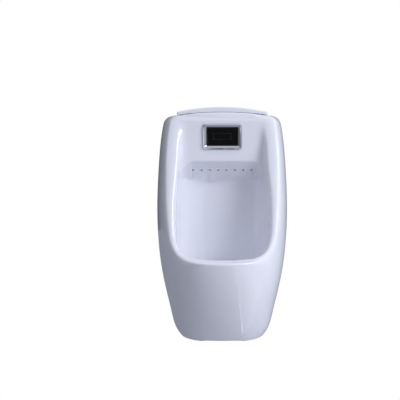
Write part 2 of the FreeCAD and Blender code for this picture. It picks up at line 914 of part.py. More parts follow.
def make_lid():
    """Crowned ceramic lid with a rib that drops into the roof hole, on pads."""
    foot = size.body_height + size.lid_lift_gap
    spans = (
        (-size.lid_half_width, size.lid_half_width), (-size.lid_front, -size.lid_back),
        (up(foot - size.lid_middle * 2), up(foot + size.lid_middle * 2)),
    )
    across = -size.body_depth
    top = rod(
        "lid_top", size.lid_crown_radius, size.body_depth * 2,
        (0, across, up(foot + size.lid_middle - size.lid_crown_radius)), BACK,
    )
    under = rod(
        "lid_under", size.crown_radius + size.lid_lift_gap, size.body_depth * 2,
        (0, across, up(size.body_height - size.crown_radius)), BACK,
    )
    slab = cut("lid_slab", common("lid_crowned", box("lid_blank", spans), top), under)
    document.recompute()
    ceiling = top.Shape

    def top_edge(edge):
        at = middle(edge)
        return touches(ceiling.Shells[0], at) or (
            along(UP)(edge) and at.y < -size.roof_hole_front
        )
    slab = rounded("lid_rounded", slab, size.lid_round, top_edge)
    reach = size.roof_hole_half_width - size.lid_rib_gap
    front = size.roof_hole_front - size.lid_rib_gap
    rear = size.roof_hole_back + size.lid_rib_gap
    wall = size.lid_rib_wall
    low, high = up(foot - size.lid_rib_depth), up(foot + size.lid_lift_gap)
    rib = cut(
        "lid_rib",
        box("lid_rib_block", ((-reach, reach), (-front, -rear), (low, high))),
        box("lid_rib_hollow", (
            (-reach + wall, reach - wall), (-front + wall, -rear - wall),
            (low - wall, high + wall),
        )),
    )
    rib = common("lid_rib_trimmed", rib, top)
    lid = fuse("ceramic_lid", slab, rib)
    pads = []
    for side in (-1, 1):
        for reach_y in (size.pad_front, size.pad_rear):
            pads.append(rod(
                f"lid_pad_{len(pads) + 1}", size.pad_radius, size.lid_middle * 2,
                (size.pad_side * side, -reach_y, up(foot - size.lid_middle * 2)),
            ))
    shell = cut("pad_layer", rod(
        "pad_ceiling", size.crown_radius + size.lid_lift_gap, size.body_depth * 2,
        (0, across, up(size.body_height - size.crown_radius)), BACK,
    ), rod(
        "pad_floor", size.crown_radius + size.pad_gap, size.body_depth * 2 + size.overrun,
        (0, across - size.pad_gap, up(size.body_height - size.crown_radius)), BACK,
    ))
    return lid, common("lid_pads", together("pad_rods", *pads), shell)


def make_hangers():
    """Two bent steel hooks that the back plate of the body sits in."""
    pair = []
    sheet, seat = size.hanger_sheet, up(size.hang_seat)
    tongue = -(size.back_plate + size.hanger_hook_gap)
    for side, name in ((-1, "left"), (1, "right")):
        across = size.hanger_spacing / 2 * side
        span = (across - size.hanger_width / 2, across + size.hanger_width / 2)
        bent = fuse(
            f"hanger_{name}_bent",
            box(f"hanger_{name}_plate", (span, (-sheet, 0), (up(size.hanger_foot), seat))),
            box(f"hanger_{name}_shelf", (span, (tongue - sheet, 0), (seat - sheet, seat))),
            box(f"hanger_{name}_tongue", (
                span, (tongue - sheet, tongue), (seat - sheet, seat + size.hanger_hook),
            )),
        )
        holes = []
        for rise in (-1, 1):
            holes.append(rod(
                f"hanger_{name}_hole_{rise + 2}", size.hanger_hole_radius, sheet * 3,
                (across, -sheet * 2, size.hanger_hole_spacing / 2 * rise), BACK,
            ))
        pair.append(cut(f"hanger_{name}", bent, *holes))
    return together("hanger_brackets", *pair)


def slab(label, width, height, front, depth, corner=None):
    """Upright plate centred on the sensor, rounded at its four corners."""
    level = up(size.sensor_height)
    piece = box(f"{label}_block", (
        (-width / 2, width / 2), (front, front + depth),
        (level - height / 2, level + height / 2),
    ))
    if corner is None:
        return piece
    return rounded(f"{label}_corners", piece, corner, along(BACK))


def make_sensor():
    """Window, housing and clamp of the sensor, from the front backwards."""
    panel = -size.panel_reach
    front = panel - size.gasket_sheet - size.bezel_depth
    edge, far = size.bezel_edge * 2, size.overrun
    plate = slab(
        "bezel_plate", size.bezel_width, size.bezel_height, front, size.bezel_depth,
        size.bezel_round,
    )
    plate = bevelled("bezel_bevelled", plate, size.bezel_bevel, at_front(front))
    pocket = slab(
        "bezel_pocket", size.bezel_width - edge, size.bezel_height - edge,
        front - size.window_sheet, size.window_sheet * 2,
        size.window_round,
    )
    sleeve_wide, sleeve_tall = size.bezel_sleeve_width, size.bezel_sleeve_height
    inner = size.bezel_sleeve_wall * 2
    back = front + size.bezel_sleeve_depth
    sleeve = slab("bezel_sleeve", sleeve_wide, sleeve_tall, front + size.bezel_depth / 2,
                  size.bezel_sleeve_depth - size.bezel_depth / 2)
    through = slab("bezel_through", sleeve_wide - inner, sleeve_tall - inner,
                   front - far, far * 2)
    bezel = cut("sensor_bezel", fuse("bezel_solid", plate, sleeve), pocket, through)
    gap = size.window_gap * 2
    window = slab(
        "window", size.bezel_width - edge - gap, size.bezel_height - edge - gap,
        front, size.window_sheet, size.window_round,
    )
    window = together("sensor_window", window)
    gasket = cut(
        "sensor_gasket",
        slab("gasket_sheet_cut", size.bezel_width - gap, size.bezel_height - gap,
             panel - size.gasket_sheet, size.gasket_sheet, size.bezel_round),
        slab("gasket_hole", sleeve_wide + gap, sleeve_tall + gap, panel - far, far * 2),
    )

    # housing: a tray that is open towards the window
    start = front + size.window_sheet
    wide = sleeve_wide - inner - size.housing_gap * 2
    tall = sleeve_tall - inner - size.housing_gap * 2
    wall = size.housing_wall * 2
    tray = cut(
        "sensor_housing",
        slab("housing_block", wide, tall, start, size.housing_depth),
        slab("housing_hollow", wide - wall, tall - wall, start - far,
             far + size.housing_depth + far),
    )
    eye = cut(
        "sensor_eye",
        slab("eye_block", size.eye_width, size.eye_height, start,
             size.board_setback),
        slab("eye_hollow", size.eye_width - size.eye_wall * 2,
             size.eye_height - size.eye_wall * 2, start - far, far * 2),
    )
    board_front = start + size.board_setback
    board = together("sensor_board", slab(
        "board", wide - wall - size.board_gap, tall - wall - size.board_gap,
        board_front, size.board_sheet,
    ))
    diodes = []
    for side in (-1, 1):
        at = (size.diode_spacing / 2 * side, board_front, up(size.sensor_height))
        shaft = rod(f"diode_shaft_{side + 2}", size.diode_radius, size.diode_length,
                    at, FRONT)
        dome = document.addObject("Part::Sphere", f"diode_dome_{side + 2}")
        bind(dome, "Radius", size.diode_radius)
        place(dome, (at[0], board_front - size.diode_length, at[2]))
        diodes.append(fuse(f"diode_{side + 2}", shaft, dome))
    diodes = together("ir_diodes", *diodes)
    cover_front = start + size.housing_depth
    gland_at = (0, cover_front, up(size.sensor_height))
    cover = cut(
        "sensor_cover", slab("cover_plate", wide, tall, cover_front, size.cover_sheet),
        rod("cover_hole", size.gland_radius - size.gland_bore_radius, far, (
            0, cover_front - far / 2, up(size.sensor_height)), BACK),
    )
    neck = size.gland_radius - size.gland_bore_radius
    gland = turned("cable_gland", [
        (size.gland_bore_radius, 0), (neck, 0), (neck, size.cover_sheet),
        (size.gland_radius, size.cover_sheet),
        (neck, size.gland_length), (size.gland_bore_radius, size.gland_length),
    ], gland_at, BACK)
    return [bezel, window, gasket, tray, eye, board, diodes, cover, gland,
            *make_clamp(back)]


def make_clamp(back):
    """Frame on the end of the sleeve, with four screws that press on the panel."""
    lip, gap = size.bezel_lip, size.window_gap * 2
    front = back - size.clamp_sheet - lip
    frame = slab("clamp_plate", size.clamp_width, size.clamp_height, front,
                 size.clamp_sheet, size.bezel_round)
    hole = slab("clamp_hole", size.bezel_sleeve_width + gap,
                size.bezel_sleeve_height + gap, front - size.clamp_sheet,
                size.clamp_sheet * 3)
    bores, screws = [], []
    level = up(size.sensor_height)
    head, tip = size.clamp_screw_head, -size.panel_back
    for side in (-1, 1):
        for rise in (-1, 1):
            number = len(screws) + 1
            across = size.clamp_screw_side * side
            height = level + size.clamp_screw_rise * rise
            bores.append(rod(f"clamp_bore_{number}", size.clamp_screw_radius,
                             size.overrun, (across, front - size.overrun / 2, height),
                             BACK))
            end = front + size.clamp_sheet
            screws.append(turned(f"clamp_screw_{number}", [
                (0, 0), (size.clamp_screw_radius, 0),
                (size.clamp_screw_radius, end - tip),
                (size.clamp_screw_head_radius, end - tip),
                (size.clamp_screw_head_radius, end - tip + head),
                (0, end - tip + head),
            ], (across, tip, height), BACK))
    return [cut("sensor_clamp", frame, hole, *bores), together("clamp_screws", *screws)]


def make_battery_box():
    """Upright case for four cells with a lift-off cap and contact strips."""
    x0, y0 = -size.battery_side, -size.battery_reach
    half, wall, foot = size.case_width / 2, size.case_wall, size.shelf_top
    top = foot + size.case_height
    shell = box("case_block", (
        (x0 - half, x0 + half), (y0 - half, y0 + half), (up(foot), up(top)),
    ))
    shell = rounded("case_corners", shell, size.case_round, along(UP))
    inside = half - wall
    case = cut("battery_case", shell, box("case_hollow", (
        (x0 - inside, x0 + inside), (y0 - inside, y0 + inside),
        (up(foot + wall), up(top + wall)),
    )))
    gap = size.cap_gap
    skirt = half - wall - gap
    cell_foot = foot + wall + size.contact_sheet
    cap_floor = cell_foot + size.battery_length + gap
    cap = fuse(
        "cap_solid",
        rounded("cap_corners", box("cap_plate", (
            (x0 - half, x0 + half), (y0 - half, y0 + half),
            (up(top), up(top + size.cap_top)),
        )), size.case_round, along(UP)),
        box("cap_skirt", (
            (x0 - skirt, x0 + skirt), (y0 - skirt, y0 + skirt), (up(cap_floor), up(top)),
        )),
    )
    room = skirt - wall
    ceiling = cell_foot + size.battery_length + size.battery_nub + size.contact_sheet
    cap = cut("battery_cap", cap, box("cap_hollow", (
        (x0 - room, x0 + room), (y0 - room, y0 + room),
        (up(cap_floor - wall), up(ceiling)),
    )))
    cells, low_strips, high_strips = [], [], []
    half_strip, pitch = size.contact_width / 2, size.battery_pitch / 2
    for side in (-1, 1):
        low_strips.append(box(f"low_strip_{side + 2}", (
            (x0 + pitch * side - half_strip, x0 + pitch * side + half_strip),
            (y0 - inside, y0 + inside), (up(foot + wall), up(cell_foot)),
        )))
        high_strips.append(box(f"high_strip_{side + 2}", (
            (x0 - room, x0 + room),
            (y0 + pitch * side - half_strip, y0 + pitch * side + half_strip),
            (up(ceiling - size.contact_sheet), up(ceiling)),
        )))
        for row in (-1, 1):
            at = (x0 + pitch * side, y0 + pitch * row, up(cell_foot))
            cells.append(turned(f"battery_{len(cells) + 1}", [
                (0, 0), (size.battery_radius, 0),
                (size.battery_radius, size.battery_length),
                (size.battery_nub_radius, size.battery_length),
                (size.battery_nub_radius, size.battery_length + size.battery_nub),
                (0, size.battery_length + size.battery_nub),
            ], at))
    return [
        case, cap, together("batteries", *cells),
        together("case_contacts", *low_strips), together("cap_contacts", *high_strips),
    ]


def make_valve():
    """Flush valve over the spud, with its stop on the supply side."""
    x0, y0 = size.valve_side, -size.valve_reach
    shelf, tail_top = size.shelf_top, size.tail_top
    bore = size.tail_radius + size.spud_squeeze
    low = shelf - size.spud_lower
    plug_radius = size.spud_hole_radius - size.spud_squeeze
    spud = turned("spud_seal", [
        (bore, 0), (plug_radius, 0), (plug_radius, size.spud_lower),
        (size.spud_flange_radius, size.spud_lower),
        (size.spud_flange_radius, size.spud_lower + size.spud_flange),
        (bore, size.spud_lower + size.spud_flange),
    ], (x0, y0, up(low)))
    tail_bore = size.tail_radius - size.tail_wall
    collar = size.tail_length - size.tail_collar
    tail = turned("flush_tail", [
        (tail_bore, 0), (size.tail_radius, 0), (size.tail_radius, collar),
        (size.tail_collar_radius, collar), (size.tail_collar_radius, size.tail_length),
        (tail_bore, size.tail_length),
    ], (x0, y0, up(tail_top - size.tail_length)))
    nut_foot = tail_top - size.nut_height + size.nut_overlap
    nut = cut(
        "tail_nut", hexagon("tail_nut_bar", size.nut_flats, size.nut_height,
                            (x0, y0, up(nut_foot))),
        rod("tail_nut_bore", bore, size.nut_height * 2,
            (x0, y0, up(nut_foot - size.nut_overlap))),
        rod("tail_nut_thread", size.outlet_radius + size.spud_squeeze, size.nut_height,
            (x0, y0, up(tail_top - size.tail_collar))),
    )
    return [spud, tail, nut, *make_valve_body(), *make_valve_top()]


def make_valve_body():
    """Valve chest, inlet arm with the quarter-turn stop, and the inlet filter."""
    x0, y0 = size.valve_side, -size.valve_reach
    foot, level = size.tail_top, size.inlet_height
    shoulder = size.outlet_length + size.chest_height
    top = shoulder + size.chest_flange
    chest = turned("valve_chest", [
        (size.outlet_bore_radius, 0), (size.outlet_radius, 0),
        (size.outlet_radius, size.outlet_length), (size.chest_radius, size.outlet_length),
        (size.chest_radius, shoulder), (size.chest_flange_radius, shoulder),
        (size.chest_flange_radius, top), (size.chest_bore_radius, top),
        (size.chest_bore_radius, size.chest_floor), (size.seat_radius, size.chest_floor),
        (size.seat_radius, size.seat_height), (size.outlet_bore_radius, size.seat_height),
    ], (x0, y0, up(foot)))
    arm_start = y0 + size.chest_bore_radius + size.window_gap
    arm_end = -(size.inlet_end + size.inlet_thread)
    arm = rod("inlet_arm", size.inlet_radius, arm_end - arm_start,
              (x0, arm_start, up(level)), BACK)
    thread = rod("inlet_thread_end", size.inlet_thread_radius, size.inlet_thread,
                 (x0, arm_end, up(level)), BACK)
    hub = rod("stop_hub", size.hub_radius, size.hub_length,
              (x0 - size.hub_length / 2, -size.hub_reach, up(level)), RIGHT)
    flow = rod("inlet_bore", size.inlet_bore_radius, size.valve_reach,
               (x0, y0 + size.inlet_bore_start, up(level)), BACK)
    plug_hole = rod("plug_bore", size.plug_bore_radius, size.hub_length * 2,
                    (x0 - size.hub_length, -size.hub_reach, up(level)), RIGHT)
    screw_hole = rod("bonnet_thread", size.bonnet_screw_radius, size.chest_flange * 2, (
        x0 + size.bonnet_screw_circle * math.sqrt(1 / 2),
        y0 + size.bonnet_screw_circle * math.sqrt(1 / 2),
        up(foot + shoulder)))
    centre = Vector(float(x0), float(y0), 0)
    threads = repeat("bonnet_threads", screw_hole, size.bonnet_screw_count, centre, UP)
    solid = fuse("valve_solid", chest, arm, thread, hub)
    body = cut("valve_body", cut("valve_bored", solid, flow, plug_hole), threads)
    return [body, *make_stop(), make_filter()]


def make_stop():
    """Slotted quarter-turn plug with two rings, kept in by a ring nut."""
    start = size.valve_side - size.hub_length / 2 + size.window_gap
    at = (start, -size.hub_reach, up(size.inlet_height))
    wide, deep = size.ring_width, size.ring_depth
    groove = size.plug_radius - deep
    first, second = size.ring_inset, size.plug_length - size.ring_inset - wide
    plug_end, stem_end = size.plug_length, size.plug_length + size.plug_stem
    plug = turned("plug_turned", [
        (0, 0), (size.plug_radius, 0), (size.plug_radius, first), (groove, first),
        (groove, first + wide), (size.plug_radius, first + wide),
        (size.plug_radius, second), (groove, second), (groove, second + wide),
        (size.plug_radius, second + wide), (size.plug_radius, plug_end),
        (size.plug_stem_radius, plug_end), (size.plug_stem_radius, stem_end),
        (0, stem_end),
    ], at, RIGHT)
    port = rod("plug_port", size.inlet_bore_radius, size.plug_radius * 4, (
        size.valve_side, -size.hub_reach - size.plug_radius * 2, at[2]), BACK)
    end = start + stem_end
    slot_half = size.plug_slot / 2
    slot = box("plug_slot_cut", (
        (end - size.plug_slot_depth, end + size.plug_slot_depth),
        (at[1] - size.plug_radius, at[1] + size.plug_radius),
        (at[2] - slot_half, at[2] + slot_half),
    ))
    plug = cut("stop_plug", plug, port, slot)
    rings = []
    for offset in (first, second):
        rings.append(tube(
            f"plug_ring_{len(rings) + 1}", groove, size.plug_bore_radius - size.ring_gap,
            wide, (start + offset, at[1], at[2]), RIGHT))
    hub_end = size.valve_side + size.hub_length / 2
    retainer = tube("plug_retainer", size.retainer_bore_radius, size.retainer_radius,
                    size.retainer_length, (hub_end, at[1], at[2]), RIGHT)
    return [plug, together("plug_rings", *rings), retainer]


def make_filter():
    """Perforated cup in the mouth of the inlet."""
    at = (size.valve_side, -size.inlet_end - size.filter_length, up(size.inlet_height))
    wall, inner = size.filter_wall, size.filter_radius - size.filter_wall
    cup = turned("filter_cup", [
        (0, 0), (inner, 0), (inner, size.filter_length - wall),
        (size.inlet_bore_radius, size.filter_length - wall),
        (size.inlet_bore_radius, size.filter_length),
        (inner - wall, size.filter_length), (inner - wall, wall), (0, wall),
    ], at, BACK)
    hole = rod("filter_hole", size.filter_hole_radius, size.filter_radius * 2, (
        at[0], at[1] + size.filter_length / 2, at[2]))
    centre = Vector(*[float(v) for v in at])
    return cut("inlet_filter", cup, repeat("filter_holes", hole, size.filter_hole_count, centre, BACK))


def make_valve_top():
    """Piston, bonnet, solenoid and plunger above the valve seat."""
    x0, y0 = size.valve_side, -size.valve_reach
    seat = size.tail_top + size.seat_height
    boss, rise = size.piston_boss, size.piston_seal + size.piston_height
    piston = turned("valve_piston", [
        (size.pilot_radius, 0), (size.piston_boss_radius, 0),
        (size.piston_boss_radius, boss + size.piston_seal),
        (size.piston_radius, boss + size.piston_seal), (size.piston_radius, boss + rise),
        (size.pilot_radius, boss + rise),
    ], (x0, y0, up(seat - boss)))
    seal = tube("piston_seal", size.piston_boss_radius, size.piston_radius
                - size.ring_depth, size.piston_seal, (x0, y0, up(seat)))
    flange = size.tail_top + size.outlet_length + size.chest_height + size.chest_flange
    core_hole = size.core_radius
    pocket, top = size.bonnet_pocket, size.bonnet_height
    sink = top - size.core_sink
    bonnet = turned("bonnet_turned", [
        (size.plunger_bore_radius, pocket), (size.chest_bore_radius, pocket),
        (size.chest_bore_radius, 0), (size.bonnet_radius, 0), (size.bonnet_radius, top),
        (core_hole, top), (core_hole, sink), (size.plunger_bore_radius, sink),
    ], (x0, y0, up(flange)))
    reach = size.bonnet_screw_circle * math.sqrt(1 / 2)
    at = (x0 + reach, y0 + reach, up(flange - size.bonnet_screw_length + top))
    shank = size.bonnet_screw_length
    screw = turned("bonnet_screw", [
        (0, 0), (size.bonnet_screw_radius, 0), (size.bonnet_screw_radius, shank),
        (size.bonnet_screw_head_radius, shank),
        (size.bonnet_screw_head_radius, shank + size.bonnet_screw_head),
        (0, shank + size.bonnet_screw_head),
    ], at)
    hole = rod("bonnet_hole", size.bonnet_screw_radius, shank * 2, at)
    centre = Vector(float(x0), float(y0), 0)
    bonnet = cut("valve_bonnet", bonnet, repeat("bonnet_holes", hole, size.bonnet_screw_count, centre, UP))
    screws = repeat("bonnet_screws", screw, size.bonnet_screw_count, centre, UP)
    core_foot = flange + sink
    inner = size.core_radius - size.core_wall
    core = turned("core_tube", [
        (inner, 0), (size.core_radius, 0), (size.core_radius, size.core_length),
        (0, size.core_length), (0, size.core_length - size.core_cap),
        (inner, size.core_length - size.core_cap),
    ], (x0, y0, up(core_foot)))
    hollow = size.plunger_length - size.plunger_bore
    plunger_foot = core_foot + size.plunger_lift_off
    plunger = turned("plunger", [
        (0, 0), (size.plunger_radius, 0), (size.plunger_radius, size.plunger_length),
        (size.plunger_bore_radius, size.plunger_length),
        (size.plunger_bore_radius, hollow), (0, hollow),
    ], (x0, y0, up(plunger_foot)))
    spring_foot = plunger_foot + hollow
    ceiling = core_foot + size.core_length - size.core_cap
    spring = make_spring(x0, y0, up(spring_foot), ceiling - spring_foot)
    coil_foot = flange + top
    coil = cut(
        "coil_bobbin", rounded("coil_rounded", rod(
            "coil_block", size.coil_radius, size.coil_height, (x0, y0, up(coil_foot))),
            size.coil_round, lambda edge: edge.Curve.TypeId == "Part::GeomCircle"),
        rod("coil_bore", size.core_radius + size.coil_gap, size.coil_height * 3,
            (x0, y0, up(coil_foot - size.coil_height))),
    )
    blades = []
    for side in (-1, 1):
        across = x0 + size.blade_spacing / 2 * side
        start = y0 + size.coil_radius - size.coil_round
        level = up(coil_foot + size.coil_height / 2)
        blades.append(box(f"coil_blade_{side + 2}", (
            (across - size.blade_sheet / 2, across + size.blade_sheet / 2),
            (start, start + size.blade_length),
            (level - size.blade_width / 2, level + size.blade_width / 2),
        )))
    coil = fuse("solenoid_coil", coil, *blades)
    nut_foot = coil_foot + size.coil_height
    nut = cut(
        "coil_nut", hexagon("coil_nut_bar", size.coil_nut_flats, size.coil_nut_height,
                            (x0, y0, up(nut_foot))),
        rod("coil_nut_bore", size.core_radius, size.coil_height,
            (x0, y0, up(nut_foot - size.coil_nut_height))),
    )
    return [piston, seal, bonnet, screws, core, plunger, spring, coil, nut]


def make_spring(x0, y0, foot, room):
    """Coil spring between the plunger and the end of the core tube."""
    wire, gap = size.spring_wire_radius, size.spring_gap
    height = room - gap * 2 - wire * 2
    path = Part.makeLongHelix(float(size.spring_pitch), float(height),
                              float(size.spring_radius))
    start = Vector(float(size.spring_radius), 0, 0)
    section = Part.Wire([Part.makeCircle(float(wire), start, BACK)])
    pipe = Part.Wire(path.Edges).makePipeShell([section], True, True)
    piece = document.addObject("Part::Feature", "plunger_spring")
    piece.Shape = pipe
    return place(piece, (x0, y0, foot + gap + wire))


def make_waste():
    """Drain fitting through the bowl floor, with the lift-out strainer."""
    y0 = -size.drain_reach
    gasket_foot = size.bowl_floor - size.drain_seat_depth
    gasket = tube("flange_gasket", size.drain_hole_radius, size.flange_radius,
                  size.flange_gasket, (0, y0, up(gasket_foot)))
    foot = size.waste_foot
    under = gasket_foot + size.flange_gasket - foot
    face = under + size.flange_sheet
    lip = face + size.flange_lip
    inner_lip = size.flange_radius - size.flange_lip_width
    body = turned("waste_body", [
        (size.waste_bore_radius, 0), (size.waste_radius, 0), (size.waste_radius, under),
        (size.flange_radius, under), (size.flange_radius, face), (inner_lip, lip),
        (inner_lip - size.flange_lip_width, lip), (inner_lip - size.flange_lip_width, face),
        (size.waste_bore_radius, face),
    ], (0, y0, up(foot)))
    floor = size.bowl_floor - size.ceramic_wall
    seal_foot = floor - size.under_gasket
    seal = tube("under_gasket", size.waste_radius + size.lock_play,
                size.under_gasket_radius, size.under_gasket, (0, y0, up(seal_foot)))
    nut_foot = seal_foot - size.lock_height
    nut = cut(
        "lock_nut", hexagon("lock_nut_bar", size.lock_flats, size.lock_height,
                            (0, y0, up(nut_foot))),
        rod("lock_nut_bore", size.waste_radius + size.lock_play, size.lock_height * 3,
            (0, y0, up(nut_foot - size.lock_height))),
    )
    return [gasket, body, seal, nut, make_strainer(up(foot + face))]


def make_strainer(foot):
    """Domed disc with slots that rests inside the lip of the drain flange."""
    y0, sheet = -size.drain_reach, size.strainer_sheet
    rim, dome = size.strainer_radius, size.strainer_dome_radius
    peak = size.strainer_dome
    disc = turned("strainer_disc", [
        (dome - sheet, 0), (rim, 0), (rim, sheet), (dome, sheet),
        (dome / 2, peak), (0, peak), (0, peak - sheet), (dome / 2 - sheet, peak - sheet),
    ], (0, y0, foot))
    level = foot - sheet
    tall = peak + sheet * 2
    half_slot = size.strainer_slot / 2
    straight = size.strainer_slot_length / 2 - half_slot
    cuts = []
    for name, circle in (("inner", size.strainer_slot_circle),
                         ("outer", size.strainer_outer_circle)):
        bar = box(f"strainer_{name}_bar", (
            (circle - straight, circle + straight),
            (y0 - half_slot, y0 + half_slot), (level, level + tall),
        ))
        ends = [rod(f"strainer_{name}_end_{side + 2}", half_slot, tall,
                    (circle + straight * side, y0, level)) for side in (-1, 1)]
        slot = fuse(f"strainer_{name}_slot", bar, *ends)
        cuts.append(repeat(f"strainer_{name}_slots", slot, size.strainer_slot_count,
                           Vector(0, float(y0), 0), UP))
    return cut("drain_strainer", disc, *cuts)


def make_trap():
    """Bottle trap: body, dip tube, screw cup and the pipe to the wall."""
    y0, foot = -size.drain_reach, size.trap_foot
    ledge = size.trap_bore + size.trap_ledge
    neck_top = ledge + size.trap_neck
    neck_foot = neck_top - size.trap_nut_height + size.trap_washer + size.trap_nut_top
    shell = turned("trap_turned", [
        (size.trap_bore_radius, 0), (size.trap_radius, 0), (size.trap_radius, neck_foot),
        (size.trap_neck_radius, neck_foot), (size.trap_neck_radius, neck_top),
        (size.trap_neck_bore_radius, neck_top), (size.trap_neck_bore_radius, ledge),
        (size.trap_ledge_radius, ledge), (size.trap_ledge_radius, size.trap_bore),
        (size.trap_bore_radius, size.trap_bore),
    ], (0, y0, up(foot)))
    level = up(size.arm_height)
    middle_bore = rod("trap_middle", size.trap_bore_radius,
                      size.trap_bore + size.overrun, (0, y0, up(foot)))
    arm = cut("trap_arm", rod("trap_arm_bar", size.arm_radius, size.arm_length,
                              (0, y0, level), BACK), middle_bore)
    body = cut("trap_body", fuse("trap_solid", shell, arm), rod(
        "trap_arm_bore", size.arm_bore_radius, size.arm_length * 2, (0, y0, level), BACK))
    collar_foot = foot + ledge
    dip_bore = size.dip_radius - size.dip_wall
    collar = collar_foot - size.dip_foot
    dip = turned("dip_tube", [
        (dip_bore, 0), (size.dip_radius, 0), (size.dip_radius, collar),
        (size.dip_collar_radius, collar),
        (size.dip_collar_radius, collar + size.dip_collar),
        (dip_bore, collar + size.dip_collar),
    ], (0, y0, up(size.dip_foot)))
    washer_foot = foot + neck_top
    washer = tube("trap_washer", size.waste_radius + size.lock_play, size.trap_neck_radius,
                  size.trap_washer, (0, y0, up(washer_foot)))
    washer_top = washer_foot + size.trap_washer
    nut_foot = washer_top + size.trap_nut_top - size.trap_nut_height
    inside = size.trap_nut_height - size.trap_nut_top
    wide, narrow = size.trap_neck_radius + size.lock_play, size.waste_radius + size.trap_play
    nut = turned("trap_nut", [
        (wide, 0), (size.trap_nut_radius, 0), (size.trap_nut_radius, size.trap_nut_height),
        (narrow, size.trap_nut_height), (narrow, inside), (wide, inside),
    ], (0, y0, up(nut_foot)))
    skirt = size.trap_radius + size.trap_play
    cup = turned("trap_cup", [
        (0, 0), (size.cup_radius - size.cup_edge, 0), (size.cup_radius, size.cup_edge),
        (size.cup_radius, size.cup_height), (skirt, size.cup_height),
        (skirt, size.cup_seat), (size.trap_bore_radius, size.cup_seat),
        (size.trap_bore_radius, size.cup_floor), (0, size.cup_floor),
    ], (0, y0, up(size.cup_foot)))
    seal = tube("cup_seal", size.trap_bore_radius, size.trap_radius, size.cup_seal,
                (0, y0, up(foot - size.cup_seal)))
    return [body, dip, washer, nut, cup, seal, *make_outlet(y0, level)]


def make_outlet(y0, level):
    """Pipe from the arm of the trap to the wall, with its seal and nut."""
    start = y0 + size.arm_length
    bore = size.pipe_radius - size.pipe_wall
    seal = tube("pipe_seal", bore, size.pipe_collar_radius - size.trap_play,
                size.pipe_seal, (0, start, level), BACK)
    collar = start + size.pipe_seal
    length = -size.pipe_end - collar
    pipe = turned("outlet_pipe", [
        (bore, 0), (size.pipe_collar_radius, 0), (size.pipe_collar_radius, size.pipe_collar),
        (size.pipe_neck_radius, size.pipe_collar),
        (size.pipe_neck_radius, size.pipe_collar + size.pipe_neck),
        (size.pipe_radius, size.pipe_collar + size.pipe_neck), (size.pipe_radius, length),
        (bore, length),
    ], (0, collar, level), BACK)
    end = collar + size.pipe_collar + size.pipe_nut_wall
    inside = size.pipe_nut_length - size.pipe_nut_wall
    wide = size.pipe_collar_radius + size.lock_play
    narrow = size.pipe_neck_radius + size.lock_play
    nut = turned("pipe_nut", [
        (wide, 0), (size.pipe_nut_radius, 0), (size.pipe_nut_radius, size.pipe_nut_length),
        (narrow, size.pipe_nut_length), (narrow, inside), (wide, inside),
    ], (0, end - size.pipe_nut_length, level), BACK)
    return [seal, pipe, nut]


def main():
    nodes = [make_ceramic_body(), *make_lid(), make_hangers(), *make_sensor(),
             *make_battery_box(), *make_valve(), *make_waste(), *make_trap()]
    document.recompute()
    for piece in document.Objects:
        if {"Invalid", "Error"} & set(piece.State):
            raise RuntimeError(f"{piece.Label}: {piece.getStatusString()}")
    for node in nodes:
        if node.Shape.isNull() or not node.Shape.isValid():
            raise RuntimeError(f"{node.Label} has no valid shape")
        node.Shape.exportStep(f"parts/{node.Label}.step")
    print(f"wrote {len(nodes)} nodes")


main()
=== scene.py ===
# %% [markdown]
# A wall-hung urinal in white glazed china, with a smoked sensor window.
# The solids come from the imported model. This script sets a camera and soft
# light and gives every piece a real finish. It also lays one skin of glaze over
# the casting and its lid, with softer inner edges, slopes the sensor's frame and
# adds the collars that glaze leaves round the spray holes.

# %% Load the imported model
import json
import math

import bpy
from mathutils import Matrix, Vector, kdtree


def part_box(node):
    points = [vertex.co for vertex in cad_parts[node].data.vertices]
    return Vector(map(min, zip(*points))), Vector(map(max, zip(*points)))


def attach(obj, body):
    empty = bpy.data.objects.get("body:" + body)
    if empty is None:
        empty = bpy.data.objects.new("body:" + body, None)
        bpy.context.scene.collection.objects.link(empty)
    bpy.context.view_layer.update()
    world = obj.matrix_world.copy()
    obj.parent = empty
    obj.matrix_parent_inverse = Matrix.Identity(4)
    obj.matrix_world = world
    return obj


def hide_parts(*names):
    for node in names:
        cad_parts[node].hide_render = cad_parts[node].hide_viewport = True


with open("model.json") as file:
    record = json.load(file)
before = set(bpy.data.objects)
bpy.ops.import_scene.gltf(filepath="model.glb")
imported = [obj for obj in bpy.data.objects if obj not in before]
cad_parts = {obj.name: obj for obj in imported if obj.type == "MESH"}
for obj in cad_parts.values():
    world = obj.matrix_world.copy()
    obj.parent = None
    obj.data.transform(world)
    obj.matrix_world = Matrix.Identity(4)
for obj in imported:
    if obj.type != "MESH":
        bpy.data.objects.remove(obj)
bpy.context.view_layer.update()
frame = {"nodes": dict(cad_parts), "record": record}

MM = 0.001

# %% [markdown]
# The photograph was taken from almost straight ahead and a little above the
# rim, with a long lens. A camera on a stand would be tilted down at the body,
# so the camera here is placed at its distance and height and then aimed. The
# body sits right of the middle and low in the picture, which the lens shift
# takes up without turning the view.

# %% Camera
PICTURE = 400
FOCAL_PIXELS = 1121
SENSOR_MM = 36.0
CAMERA_PLACE = Vector((-0.012, -2.936, 0.083))
CAMERA_AIM = Vector((0.0, -0.15, -0.195))
BODY_ACROSS, BODY_DOWN = 222.4, 225.6


def turn_towards(place, aim):
    """The rotation of a camera or lamp at one place that looks at another."""
    return (aim - place).to_track_quat("-Z", "Y").to_euler()


